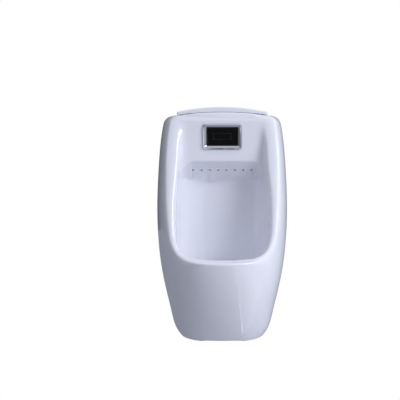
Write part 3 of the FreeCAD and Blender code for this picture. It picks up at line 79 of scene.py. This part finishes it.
camera_data = bpy.data.cameras.new("camera")
camera_data.sensor_width = SENSOR_MM
camera_data.lens = FOCAL_PIXELS / PICTURE * SENSOR_MM
camera_data.shift_x = (PICTURE / 2 - BODY_ACROSS) / PICTURE
camera_data.shift_y = (BODY_DOWN - PICTURE / 2) / PICTURE
camera = bpy.data.objects.new("camera", camera_data)
bpy.context.scene.collection.objects.link(camera)
camera.location = CAMERA_PLACE
camera.rotation_euler = turn_towards(CAMERA_PLACE, CAMERA_AIM)
bpy.context.scene.camera = camera
print("lens", round(camera_data.lens, 1), "mm")

# %% [markdown]
# Shader trees are wired by code here, so one small function adds a node, sets
# its sockets or properties by name or number, and links its inputs. A second
# one turns the hex values that a colour picker gives into linear light, which
# is what the renderer adds up.

# %% Node and colour helpers


def add_node(tree, kind, settings=None, links=None):
    """Add a node, set its sockets or properties, and link its inputs."""
    made = tree.nodes.new(kind)
    for name, value in (settings or {}).items():
        if isinstance(name, int) or name in made.inputs:
            made.inputs[name].default_value = value
        else:
            setattr(made, name, value)
    for name, source in (links or {}).items():
        tree.links.new(source, made.inputs[name])
    return made


def linear(code):
    """Linear colour of an sRGB hex value such as #E8EAF2."""
    parts = [int(code[at:at + 2], 16) / 255 for at in (1, 3, 5)]
    return tuple(
        part / 12.92 if part <= 0.04045 else ((part + 0.055) / 1.055) ** 2.4
        for part in parts
    ) + (1.0,)


WHITE = linear("#FFFFFF")
print("white of the backdrop", WHITE)

# %% [markdown]
# White china shows its form only by what it reflects. One large soft box stands
# to the right, in front and above, as in a product studio, and the left stays
# darker so that the barrel of the body turns. Two flat lamps lie just above the
# floor at the right and face up: the broad one brightens the right of the barrel,
# and the slim strip beside it draws the thin upright line there.

# %% Lamps
LAMP_TINT = "#F4F6FF"
BODY_MIDDLE = Vector((0.0, -0.15, -0.2))
KEY_PLACE, KEY_SIDE, KEY_POWER = Vector((2.3, -2.0, 1.1)), 1.5, 53
BOX_PLACE, BOX_WIDE, BOX_POWER = Vector((0.595, -0.562, -0.86)), 0.66, 1.2
STRIP_PLACE, STRIP_WIDE, STRIP_POWER = Vector((0.27, -0.62, -0.86)), 0.025, 0.32
FLOOR_LAMP_LONG = 1.17
FACE_UP = (math.pi, 0, math.radians(10))


def area_light(name, place, turn, wide, tall, power):
    """A soft box of the given size that the camera itself doesn't see."""
    data = bpy.data.lights.new(name, "AREA")
    data.shape = "RECTANGLE"
    data.size, data.size_y = wide, tall
    data.energy = power
    data.color = linear(LAMP_TINT)[:3]
    lamp = bpy.data.objects.new(name, data)
    bpy.context.scene.collection.objects.link(lamp)
    lamp.location = place
    lamp.rotation_euler = turn
    lamp.visible_camera = False
    print(name, "of", power, "watts")


key_turn = turn_towards(KEY_PLACE, BODY_MIDDLE)
area_light("key_box", KEY_PLACE, key_turn, KEY_SIDE, KEY_SIDE, KEY_POWER)
area_light("floor_box", BOX_PLACE, FACE_UP, BOX_WIDE, FLOOR_LAMP_LONG, BOX_POWER)
area_light("floor_strip", STRIP_PLACE, FACE_UP, STRIP_WIDE, FLOOR_LAMP_LONG, STRIP_POWER)

# %% [markdown]
# The backdrop and the floor are plain white where the camera looks at them, but
# give only a little light of their own, because a bright room all round would
# wash the shading out. The room's light grows towards the right wall, the front
# wall and the ceiling, and the three shares are added up.

# %% Backdrop
WALL_LIGHT, CEILING_LIGHT, FRONT_LIGHT, DIM_LIGHT = 0.4, 0.74, 0.16, 0.08
ROOM_TINT = "#F0F3FF"


def white_to_the_eye(tree, lit, glow):
    """Plain white where the camera looks straight at it, and lit elsewhere."""
    looked_at = add_node(tree, "ShaderNodeLightPath").outputs["Is Camera Ray"]
    white = add_node(tree, glow, {"Color": WHITE, "Strength": 1.0})
    return add_node(tree, "ShaderNodeMixShader", links={
        0: looked_at, 1: lit.outputs[0], 2: white.outputs[0]}).outputs[0]


world = bpy.data.worlds.new("studio")
bpy.context.scene.world = world
world.use_nodes = True
studio = world.node_tree
studio.nodes.clear()
facing = add_node(studio, "ShaderNodeTexCoord").outputs["Generated"]
heading = add_node(studio, "ShaderNodeSeparateXYZ", links={0: facing})
right_wall = add_node(studio, "ShaderNodeMapRange", {"To Max": WALL_LIGHT},
                      {"Value": heading.outputs[0]})
front_wall = add_node(studio, "ShaderNodeMapRange",
                      {"From Max": -1.0, "To Max": FRONT_LIGHT}, {"Value": heading.outputs[1]})
ceiling = add_node(studio, "ShaderNodeMapRange",
                   {"To Min": DIM_LIGHT, "To Max": CEILING_LIGHT}, {"Value": heading.outputs[2]})
walls = add_node(studio, "ShaderNodeMath", {"operation": "ADD"},
                 {0: right_wall.outputs[0], 1: front_wall.outputs[0]})
room_light = add_node(studio, "ShaderNodeMath", {"operation": "ADD"},
                      {0: walls.outputs[0], 1: ceiling.outputs[0]})
room = add_node(studio, "ShaderNodeBackground", {"Color": linear(ROOM_TINT)},
                {"Strength": room_light.outputs[0]})
add_node(studio, "ShaderNodeOutputWorld",
         links={"Surface": white_to_the_eye(studio, room, "ShaderNodeBackground")})
bpy.context.scene.view_settings.view_transform = "Standard"
print("room light from", DIM_LIGHT, "to", CEILING_LIGHT, "overhead")

# %% [markdown]
# The floor is a wide round of matt paper, well below the foot because the body
# hangs on a wall. It sends a soft grey light up under the barrel.

# %% Floor
FLOOR_LEVEL, FLOOR_RADIUS, FLOOR_POINTS = -0.872, 6.0, 96
PAPER_GREY = "#A4A7AE"

bpy.ops.object.select_all(action="DESELECT")
bpy.ops.mesh.primitive_circle_add(vertices=FLOOR_POINTS, radius=FLOOR_RADIUS,
                                  fill_type="NGON", location=(0, 0, FLOOR_LEVEL))
floor = bpy.context.object
floor.name = "floor"
pale = bpy.data.materials.new("matt_white_studio_paper")
pale.use_nodes = True
pale.node_tree.nodes.clear()
paper = add_node(pale.node_tree, "ShaderNodeBsdfDiffuse", {"Color": linear(PAPER_GREY)})
add_node(pale.node_tree, "ShaderNodeOutputMaterial",
         links={"Surface": white_to_the_eye(pale.node_tree, paper, "ShaderNodeEmission")})
floor.data.materials.append(pale)
print("floor at", round(floor.location.z, 3))

# %% [markdown]
# Sanitary ware is cast from liquid clay in a plaster mould, sprayed with a
# zircon glaze and fired once. That gives the eye a deep wet gloss with very
# long, faint waves in it, a tone that drifts a little where the glaze is
# thicker, and bare matt clay on the edge that stood on the kiln shelf and on
# the flange that meets the wall, where glaze would have stuck. All of it can
# be told from the place of a point on the body, so no picture is needed.

# %% Glazed china
GLAZE_WAVE_MM, GLAZE_WAVE_DEPTH_MM = 60, 0.25
GLAZE_DRIFT_MM = 140
GLAZE_PALE, GLAZE_DEEP, BARE_CLAY = "#F6F7FC", "#EEF0F8", "#DDD6C6"
GLAZE_ROUGH, CLAY_ROUGH, GLAZE_IOR = 0.06, 0.62, 1.5
WALL_GLAZED, WALL_BARE = -2.5 * MM, -1.0 * MM
FOOT_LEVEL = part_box("ceramic_body")[0][2]
FOOT_GLAZED, FOOT_BARE = FOOT_LEVEL + 1.6 * MM, FOOT_LEVEL + 0.4 * MM


def start_finish(name):
    """A new material with an empty tree and the object's own coordinates."""
    finish = bpy.data.materials.new(name)
    finish.use_nodes = True
    finish.node_tree.nodes.clear()
    place = add_node(finish.node_tree, "ShaderNodeTexCoord").outputs["Object"]
    return finish, finish.node_tree, place


china, tree, place = start_finish("slip_cast_vitreous_china_zircon_glaze")
drift = add_node(tree, "ShaderNodeTexNoise",
                 {"Scale": 1 / (GLAZE_DRIFT_MM * MM), "Detail": 2.0}, {"Vector": place})
glaze = add_node(tree, "ShaderNodeMix",
                 {"data_type": "RGBA", 6: linear(GLAZE_PALE), 7: linear(GLAZE_DEEP)},
                 {0: drift.outputs[0]})
axes = add_node(tree, "ShaderNodeSeparateXYZ", links={0: place})
at_wall = add_node(tree, "ShaderNodeMapRange",
                   {"From Min": WALL_GLAZED, "From Max": WALL_BARE}, {"Value": axes.outputs[1]})
at_foot = add_node(tree, "ShaderNodeMapRange",
                   {"From Min": FOOT_GLAZED, "From Max": FOOT_BARE}, {"Value": axes.outputs[2]})
bare = add_node(tree, "ShaderNodeMath", {"operation": "MAXIMUM"},
                {0: at_wall.outputs[0], 1: at_foot.outputs[0]})
tone = add_node(tree, "ShaderNodeMix", {"data_type": "RGBA", 7: linear(BARE_CLAY)},
                {0: bare.outputs[0], 6: glaze.outputs[2]})
gloss = add_node(tree, "ShaderNodeMapRange", {"To Min": GLAZE_ROUGH, "To Max": CLAY_ROUGH},
                 {"Value": bare.outputs[0]})
wave = add_node(tree, "ShaderNodeTexNoise",
                {"Scale": 1 / (GLAZE_WAVE_MM * MM), "Detail": 1.0}, {"Vector": place})
relief = add_node(tree, "ShaderNodeBump", {"Distance": GLAZE_WAVE_DEPTH_MM * MM},
                  {"Height": wave.outputs[0]})
shader = add_node(tree, "ShaderNodeBsdfPrincipled", {"IOR": GLAZE_IOR}, {
    "Base Color": tone.outputs[2], "Roughness": gloss.outputs[0],
    "Normal": relief.outputs[0]})
add_node(tree, "ShaderNodeOutputMaterial", links={"Surface": shader.outputs[0]})
print("china bare below", round(FOOT_GLAZED, 4))

# %% [markdown]
# The other finishes have the same build: a tone that drifts between two near
# colours over a patch of real size, a gloss that drifts with it, and a fine
# grain that catches the light. What makes each one look like itself is the
# numbers, so one function takes them. A stretch of the pattern along one axis
# gives the lines of drawn metal.

# %% A finish that drifts
PATCH_LOW, PATCH_HIGH = 0.3, 0.7


def drifting_finish(name, tones, patch_mm, rough, grain_mm, sockets, stretch=(1, 1, 1)):
    """A finish whose tone, gloss and relief drift over real sizes."""
    pale, deep = tones
    grain_wide, grain_deep = grain_mm
    finish, tree, place = start_finish(name)
    laid = add_node(tree, "ShaderNodeMapping", {"Scale": stretch}, {"Vector": place})
    patches = add_node(tree, "ShaderNodeTexNoise",
                       {"Scale": 1 / (patch_mm * MM), "Detail": 4.0},
                       {"Vector": laid.outputs[0]})
    tone = add_node(tree, "ShaderNodeMix",
                    {"data_type": "RGBA", 6: linear(pale), 7: linear(deep)},
                    {0: patches.outputs[0]})
    gloss = add_node(tree, "ShaderNodeMapRange",
                     {"From Min": PATCH_LOW, "From Max": PATCH_HIGH,
                      "To Min": rough[0], "To Max": rough[1]},
                     {"Value": patches.outputs[0]})
    fine = add_node(tree, "ShaderNodeTexNoise",
                    {"Scale": 1 / (grain_wide * MM), "Detail": 2.0},
                    {"Vector": laid.outputs[0]})
    relief = add_node(tree, "ShaderNodeBump", {"Distance": grain_deep * MM},
                      {"Height": fine.outputs[0]})
    shader = add_node(tree, "ShaderNodeBsdfPrincipled", sockets, {
        "Base Color": tone.outputs[2], "Roughness": gloss.outputs[0],
        "Normal": relief.outputs[0]})
    add_node(tree, "ShaderNodeOutputMaterial", links={"Surface": shader.outputs[0]})
    return finish


METAL = {"Metallic": 1.0}
finishes = {"glazed_china": china}
print("gloss drifts between noise values", PATCH_LOW, "and", PATCH_HIGH)

# %% [markdown]
# Metals first. They differ by how they were shaped: plated over a casting,
# plated over a pressing, drawn, or cast in sand.

# %% Metal finishes
# bright nickel-chrome over zinc: a mirror with a breath of haze
finishes["chrome_plate"] = drifting_finish(
    "chrome_plated_zinc_die_casting", ("#DADCE0", "#D0D3D8"), patch_mm=30,
    rough=(0.05, 0.09), grain_mm=(6, 0.004), sockets=METAL)
# zinc plate with clear passivation: grey patches with a cold, uneven sheen
finishes["steel_zinc"] = drifting_finish(
    "zinc_plated_pressed_steel", ("#BFC3C6", "#9FA5AA"), patch_mm=7,
    rough=(0.28, 0.46), grain_mm=(1.2, 0.012), sockets=METAL)
# cold-drawn stainless: a grain drawn out upright, so the sheen runs in lines
finishes["steel_bright"] = drifting_finish(
    "cold_drawn_stainless_steel", ("#CFCFCC", "#B9B9B5"), patch_mm=9,
    rough=(0.14, 0.26), grain_mm=(0.8, 0.004), sockets=METAL, stretch=(1, 1, 0.15))
# sand-cast brass: warm, with a pitted skin
finishes["brass_cast"] = drifting_finish(
    "sand_cast_brass", ("#C9A45A", "#A9803C"), patch_mm=14,
    rough=(0.26, 0.44), grain_mm=(1.1, 0.05), sockets=METAL)
print("finishes", len(finishes))

# %% [markdown]
# Then rubber, plastics and resins. A moulded skin shows the grain of its mould,
# and a cast or shrunk one is smoother and carries longer ripples.

# %% Rubber, plastic and resin finishes
# moulded EPDM: matt black with a grey bloom and a faint mould grain
finishes["rubber_black"] = drifting_finish(
    "moulded_epdm_rubber", ("#2A2A2C", "#1B1B1D"), patch_mm=10,
    rough=(0.62, 0.82), grain_mm=(0.7, 0.03), sockets={"IOR": 1.52})
# ABS from a spark-eroded mould, black: satin, with a dry fine grain
finishes["plastic_black"] = drifting_finish(
    "moulded_black_abs", ("#26272A", "#1C1D20"), patch_mm=18,
    rough=(0.38, 0.52), grain_mm=(0.6, 0.02), sockets={"IOR": 1.53})
# the same ABS and mould grain in mid grey: the satin shows more plainly
finishes["plastic_grey"] = drifting_finish(
    "moulded_grey_abs", ("#8A8D92", "#787B80"), patch_mm=18,
    rough=(0.38, 0.52), grain_mm=(0.6, 0.02), sockets={"IOR": 1.53})
# moulded polypropylene: a waxy white with soft flow marks
finishes["plastic_white"] = drifting_finish(
    "moulded_white_polypropylene", ("#E9E9E4", "#DCDCD5"), patch_mm=26,
    rough=(0.3, 0.42), grain_mm=(2.2, 0.02), sockets={"IOR": 1.49})
# cast epoxy that passes only infra-red: glossy and near black, with a violet cast
finishes["diode_resin"] = drifting_finish(
    "cast_infra_red_epoxy", ("#3A2440", "#25172B"), patch_mm=4,
    rough=(0.05, 0.1), grain_mm=(1.5, 0.005), sockets={"IOR": 1.55})
# solder mask over glass cloth: green lacquer, slightly mottled by the cloth
finishes["circuit_board"] = drifting_finish(
    "solder_masked_glass_epoxy", ("#1F6B3C", "#17552F"), patch_mm=5,
    rough=(0.24, 0.36), grain_mm=(1.0, 0.02), sockets={"IOR": 1.55})
# heat-shrunk sleeve: smooth dark film with long soft ripples
finishes["battery_jacket"] = drifting_finish(
    "shrunk_pvc_jacket", ("#4A4C52", "#3B3D42"), patch_mm=12,
    rough=(0.18, 0.3), grain_mm=(5, 0.02), sockets={"IOR": 1.53})
# cast acrylic, tinted in the mass: dark and glossy, and what lies behind it
# still shows faintly, which the alpha gives
finishes["smoked_acrylic"] = drifting_finish(
    "smoked_cast_acrylic", ("#0C0A0A", "#080707"), patch_mm=25,
    rough=(0.03, 0.05), grain_mm=(9, 0.004),
    sockets={"IOR": 1.49, "Alpha": 0.6, "Specular IOR Level": 0.35})
print("finishes", len(finishes))

# %% [markdown]
# Each solid takes the finish of its material slot. The solids are left as they
# are, and only their material slots change.

# %% Dress the solids
for row in frame["record"]["subparts"]:
    solid = frame["nodes"][row["node"]]
    if not solid.material_slots:
        solid.data.materials.append(None)
    for slot in solid.material_slots:
        slot.material = finishes[row["material_slot"]]

# %% [markdown]
# The casting's triangles come face by face from the solids, so its shading
# breaks where one patch of surface meets the next. Glaze flows over such
# joints. A copy with its points merged and its normals weighted by face area
# shades as one skin, and keeps the flat panel flat.

# %% One skin of glaze
MERGE_WITHIN = 0.002 * MM
SKIN_SHARP = math.radians(32)


def pick_only(piece):
    """Make one object the only one that the next operator acts on."""
    bpy.ops.object.select_all(action="DESELECT")
    bpy.context.view_layer.objects.active = piece
    piece.select_set(True)


def merged_copy(node, label):
    """A copy of a node's mesh with its points merged and no notes of the node's."""
    skin = frame["nodes"][node].copy()
    skin.data = frame["nodes"][node].data.copy()
    for key in list(skin.keys()):
        del skin[key]
    skin.name = label
    bpy.context.scene.collection.objects.link(skin)
    skin.parent = None
    pick_only(skin)
    bpy.ops.object.mode_set(mode="EDIT")
    bpy.ops.mesh.select_all(action="SELECT")
    bpy.ops.mesh.customdata_custom_splitnormals_clear()
    bpy.ops.mesh.remove_doubles(threshold=MERGE_WITHIN)
    bpy.ops.object.mode_set(mode="OBJECT")
    return skin


skins = {}
for node, body in (("ceramic_body", "body"), ("ceramic_lid", "lid")):
    skin = skins[node] = merged_copy(node, node + "_glazed")
    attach(skin, body)
    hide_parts(node)
    print(skin.name, len(skin.data.vertices), "points")

# %% [markdown]
# Where the rim turns into the bowl, the clay was sponged while wet and the glaze
# ran, so the edge is a broad, soft roll. The solid has a tighter one. The inner
# edge is found by its slanting faces, which look to the front and to the middle
# at once and lie close behind the leaning face of the rim. The foot of the band
# with the spray holes is softer too, and is found by the band's own slope.

# %% Where the soft edges run
PANEL_TOP, PANEL_REACH, RIM_LEAN = 74.4 * MM, 128.6 * MM, math.radians(17.9)
EDGE_DEPTH = 12 * MM
INWARD_LEAST, FORWARD_LEAST = 0.2, 0.25
BAND_NORMAL = Vector((0, -1, -1)).normalized()
BAND_ALIKE = 0.99
BAND_BACK, BAND_FOOT_BELOW = -60 * MM, -72 * MM


def rim_face(level):
    """How far forward the leaning face of the rim lies at a height."""
    return -(PANEL_REACH + (PANEL_TOP - level) * math.tan(RIM_LEAN))


def on_inner_edge(face):
    """True for a slanting face that lies close behind the face of the rim."""
    inward = face.normal.x * math.copysign(1, face.center.x) < -INWARD_LEAST
    forward = face.normal.y < -FORWARD_LEAST
    return inward and forward and face.center.y < rim_face(face.center.z) + EDGE_DEPTH


def on_band(face):
    """True for a face of the sloped band with the spray holes."""
    return face.normal.dot(BAND_NORMAL) > BAND_ALIKE and face.center.y < BAND_BACK


body_skin = skins["ceramic_body"]
faces, points = body_skin.data.polygons, body_skin.data.vertices
slanted = [face.center.copy() for face in faces if on_inner_edge(face)]
band_spots = [points[number].co for face in faces if on_band(face) for number in face.vertices]
band_foot = [spot.copy() for spot in band_spots if spot.z < BAND_FOOT_BELOW]
print("slanted faces", len(slanted), "band foot points", len(band_foot))

# %% [markdown]
# How far a point lies from the nearest soft edge says how much it is softened:
# fully close by, not at all further off, and in between it fades.

# %% How near a point is to a soft edge
BAND_TIGHTER = 1.7


def lookup(spots):
    """A tree that finds the nearest of some points."""
    nearest = kdtree.KDTree(len(spots))
    for number, spot in enumerate(spots):
        nearest.insert(spot, number)
    nearest.balance()
    return nearest


rim_edge, band_edge = lookup(slanted), lookup(band_foot)


def edge_reach(spot):
    """Distance to the nearest soft edge, where the band's is a tighter one."""
    return min(rim_edge.find(spot)[2], band_edge.find(spot)[2] * BAND_TIGHTER)


def weigh_near_edge(piece, full, none):
    """A vertex group that is 1 near a soft edge and falls to 0."""
    group = piece.vertex_groups.new(name="near_edge")
    for point in piece.data.vertices:
        share = (none - edge_reach(point.co)) / (none - full)
        if share > 0:
            group.add([point.index], min(share, 1), "REPLACE")
    return group.name


furthest = max(edge_reach(point.co) for point in body_skin.data.vertices)
print("furthest point from a soft edge", round(furthest, 3))

# %% [markdown]
# A mould is made from the skin: an even mesh of small squares, smoothed only near
# the soft edges. The skin gets more points there and is then laid on the mould,
# so the rest of it keeps the exact shape of the solid.

# %% Soft inner roll of the rim
ROLL_FULL, ROLL_NONE, LAID_NONE = 14 * MM, 34 * MM, 40 * MM
MOULD_GRID, MOULD_PASSES, MOULD_EASE = 3 * MM, 80, 0.5
LONGEST_EDGE, EDGE_PASSES = 7 * MM, 4


def apply_modifier(piece, kind, settings):
    """Add a modifier, set it and apply it."""
    pick_only(piece)
    step = piece.modifiers.new(kind.lower(), kind)
    for name, value in settings.items():
        setattr(step, name, value)
    bpy.ops.object.modifier_apply(modifier=step.name)


def split_long_edges(piece):
    """Halve each long edge that lies near a soft edge."""
    bpy.ops.object.mode_set(mode="EDIT")
    bpy.ops.mesh.select_mode(type="EDGE")
    bpy.ops.mesh.select_all(action="DESELECT")
    bpy.ops.object.mode_set(mode="OBJECT")
    for edge in piece.data.edges:
        start, end = (piece.data.vertices[number].co for number in edge.vertices)
        long = (end - start).length > LONGEST_EDGE
        edge.select = long and edge_reach((start + end) / 2) < LAID_NONE
    bpy.ops.object.mode_set(mode="EDIT")
    bpy.ops.mesh.subdivide(number_cuts=1)
    bpy.ops.object.mode_set(mode="OBJECT")


mould = body_skin.copy()
mould.data = body_skin.data.copy()
bpy.context.scene.collection.objects.link(mould)
apply_modifier(mould, "REMESH", {"mode": "VOXEL", "voxel_size": MOULD_GRID})
near = weigh_near_edge(mould, ROLL_FULL, ROLL_NONE)
apply_modifier(mould, "SMOOTH",
               {"factor": MOULD_EASE, "iterations": MOULD_PASSES, "vertex_group": near})
pick_only(body_skin)
for turn in range(EDGE_PASSES):
    split_long_edges(body_skin)
near = weigh_near_edge(body_skin, ROLL_NONE, LAID_NONE)
apply_modifier(body_skin, "SHRINKWRAP", {"target": mould, "vertex_group": near})
bpy.data.objects.remove(mould)
print("points now", len(body_skin.data.vertices))

# %% [markdown]
# With its shape settled, each skin gets its shading: smooth across the patches
# of the solid, and sharp only where two faces meet at a real edge.

# %% Shade the skins


def shade_as_one(skin):
    """Smooth shading across patches, weighted by face area, sharp at real edges."""
    pick_only(skin)
    bpy.ops.object.shade_smooth_by_angle(angle=SKIN_SHARP)
    weigh = skin.modifiers.new("weigh_by_area", "WEIGHTED_NORMAL")
    weigh.keep_sharp = True
    bpy.ops.object.modifier_apply(modifier=weigh.name)


for skin in skins.values():
    shade_as_one(skin)
print("shaded", [skin.name for skin in skins.values()])

# %% [markdown]
# The chrome frame of the sensor is a die casting whose face falls away to the
# window, so that each of its four sides mirrors another part of the studio and
# takes a shade of its own. The copies below keep the solids' size and place. The
# inner edge of the frame and the face of the window are pushed back in edit mode,
# as one would grab those points by hand, and the flat ring between becomes the
# slope.

# %% Sloped sensor frame and sunken window
SLOPE_DROP = 2.2 * MM
EDGE_PLAY, FACE_PLAY = 0.4 * MM, 0.1 * MM
(left_edge, face_level, low_edge), (right_edge, _, high_edge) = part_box("sensor_window")


def push_back(piece, wanted, reach):
    """Grab the points that wanted() picks and move them towards the wall."""
    pick_only(piece)
    bpy.ops.object.mode_set(mode="EDIT")
    bpy.ops.mesh.select_mode(type="VERT")
    bpy.ops.mesh.select_all(action="DESELECT")
    bpy.ops.object.mode_set(mode="OBJECT")
    picked = [point for point in piece.data.vertices if wanted(point.co)]
    for point in picked:
        point.select = True
    bpy.ops.object.mode_set(mode="EDIT")
    bpy.ops.transform.translate(value=(0, reach, 0))
    bpy.ops.object.mode_set(mode="OBJECT")
    return len(picked)


def inside_frame(spot):
    """True for points of the front face that lie within the window's edge."""
    across = left_edge - EDGE_PLAY < spot.x < right_edge + EDGE_PLAY
    upright = low_edge - EDGE_PLAY < spot.z < high_edge + EDGE_PLAY
    return across and upright and abs(spot.y - face_level) < FACE_PLAY


for node, slot in (("sensor_bezel", "chrome_plate"), ("sensor_window", "smoked_acrylic")):
    piece = merged_copy(node, node + "_sunken")
    moved = push_back(piece, inside_frame, SLOPE_DROP)
    shade_as_one(piece)
    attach(piece, "body")
    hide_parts(node)
    print(piece.name, "points pushed back", moved)

# %% [markdown]
# Each spray hole is drilled in the wet clay, and the glaze draws back from its
# edge into a low collar. One ring is modelled from a torus in edit mode: it is
# flattened, the part that would lie inside the band is cut away, and the outer
# flank is drawn out into a thin skirt, as running glaze leaves it.

# %% One glaze collar
BAND_TURN = math.radians(135)
COLLAR_RADIUS, COLLAR_CREST = 4.0 * MM, 1.0 * MM
COLLAR_ROUND, COLLAR_SIDES = 40, 14
CREST_SHARE, SKIRT_SHARE, SKIRT_START_SHARE = 0.55, 1.12, 0.75
SKIRT_FROM = COLLAR_RADIUS + SKIRT_START_SHARE * COLLAR_CREST
COLLAR_SUNK = 0.3 * MM
COLLAR_SHARP = math.radians(60)
MIDDLE = (0, 0, 0)

bpy.ops.object.select_all(action="DESELECT")
bpy.ops.mesh.primitive_torus_add(major_radius=COLLAR_RADIUS, minor_radius=COLLAR_CREST,
                                 major_segments=COLLAR_ROUND, minor_segments=COLLAR_SIDES)
collar = bpy.context.object
bpy.ops.object.mode_set(mode="EDIT")
bpy.ops.mesh.select_mode(type="VERT")
bpy.ops.mesh.select_all(action="SELECT")
bpy.ops.transform.resize(value=(1, 1, CREST_SHARE), center_override=MIDDLE)
bpy.ops.mesh.bisect(plane_co=(0, 0, -COLLAR_SUNK), plane_no=(0, 0, 1),
                    use_fill=True, clear_inner=True)
bpy.ops.mesh.select_all(action="DESELECT")
bpy.ops.object.mode_set(mode="OBJECT")
skirt = [point for point in collar.data.vertices if point.co.xy.length > SKIRT_FROM]
for point in skirt:
    point.select = True
bpy.ops.object.mode_set(mode="EDIT")
bpy.ops.transform.resize(value=(SKIRT_SHARE, SKIRT_SHARE, 1), center_override=MIDDLE)
bpy.ops.mesh.select_all(action="SELECT")
bpy.ops.mesh.normals_make_consistent(inside=False)
bpy.ops.object.mode_set(mode="OBJECT")
collar.rotation_euler = (BAND_TURN, 0, 0)
bpy.ops.object.transform_apply(location=False, rotation=True, scale=False)
bpy.ops.object.shade_smooth_by_angle(angle=COLLAR_SHARP)
collar.data.materials.append(china)
print("collar points", len(collar.data.vertices), "of which in the skirt", len(skirt))

# %% [markdown]
# The holes stand in one row along the sloped band, at an even pitch about the
# middle of the body, and a copy of the collar sits round each of them.

# %% Glaze collars round the spray holes
HOLES, HOLE_PITCH = 8, 21 * MM
HOLE_SPOT = Vector((0, -105.1, -58.5)) * MM
for number in range(HOLES):
    ring = collar.copy()
    ring.data = collar.data.copy()
    ring.name = f"spray_collar_{number + 1}"
    bpy.context.scene.collection.objects.link(ring)
    ring.location = HOLE_SPOT + Vector(((number - (HOLES - 1) / 2) * HOLE_PITCH, 0, 0))
    pick_only(ring)
    bpy.ops.object.transform_apply(location=True, rotation=False, scale=False)
    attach(ring, "body")
bpy.data.objects.remove(collar)
print("spray collars", HOLES, "pitch", HOLE_PITCH)
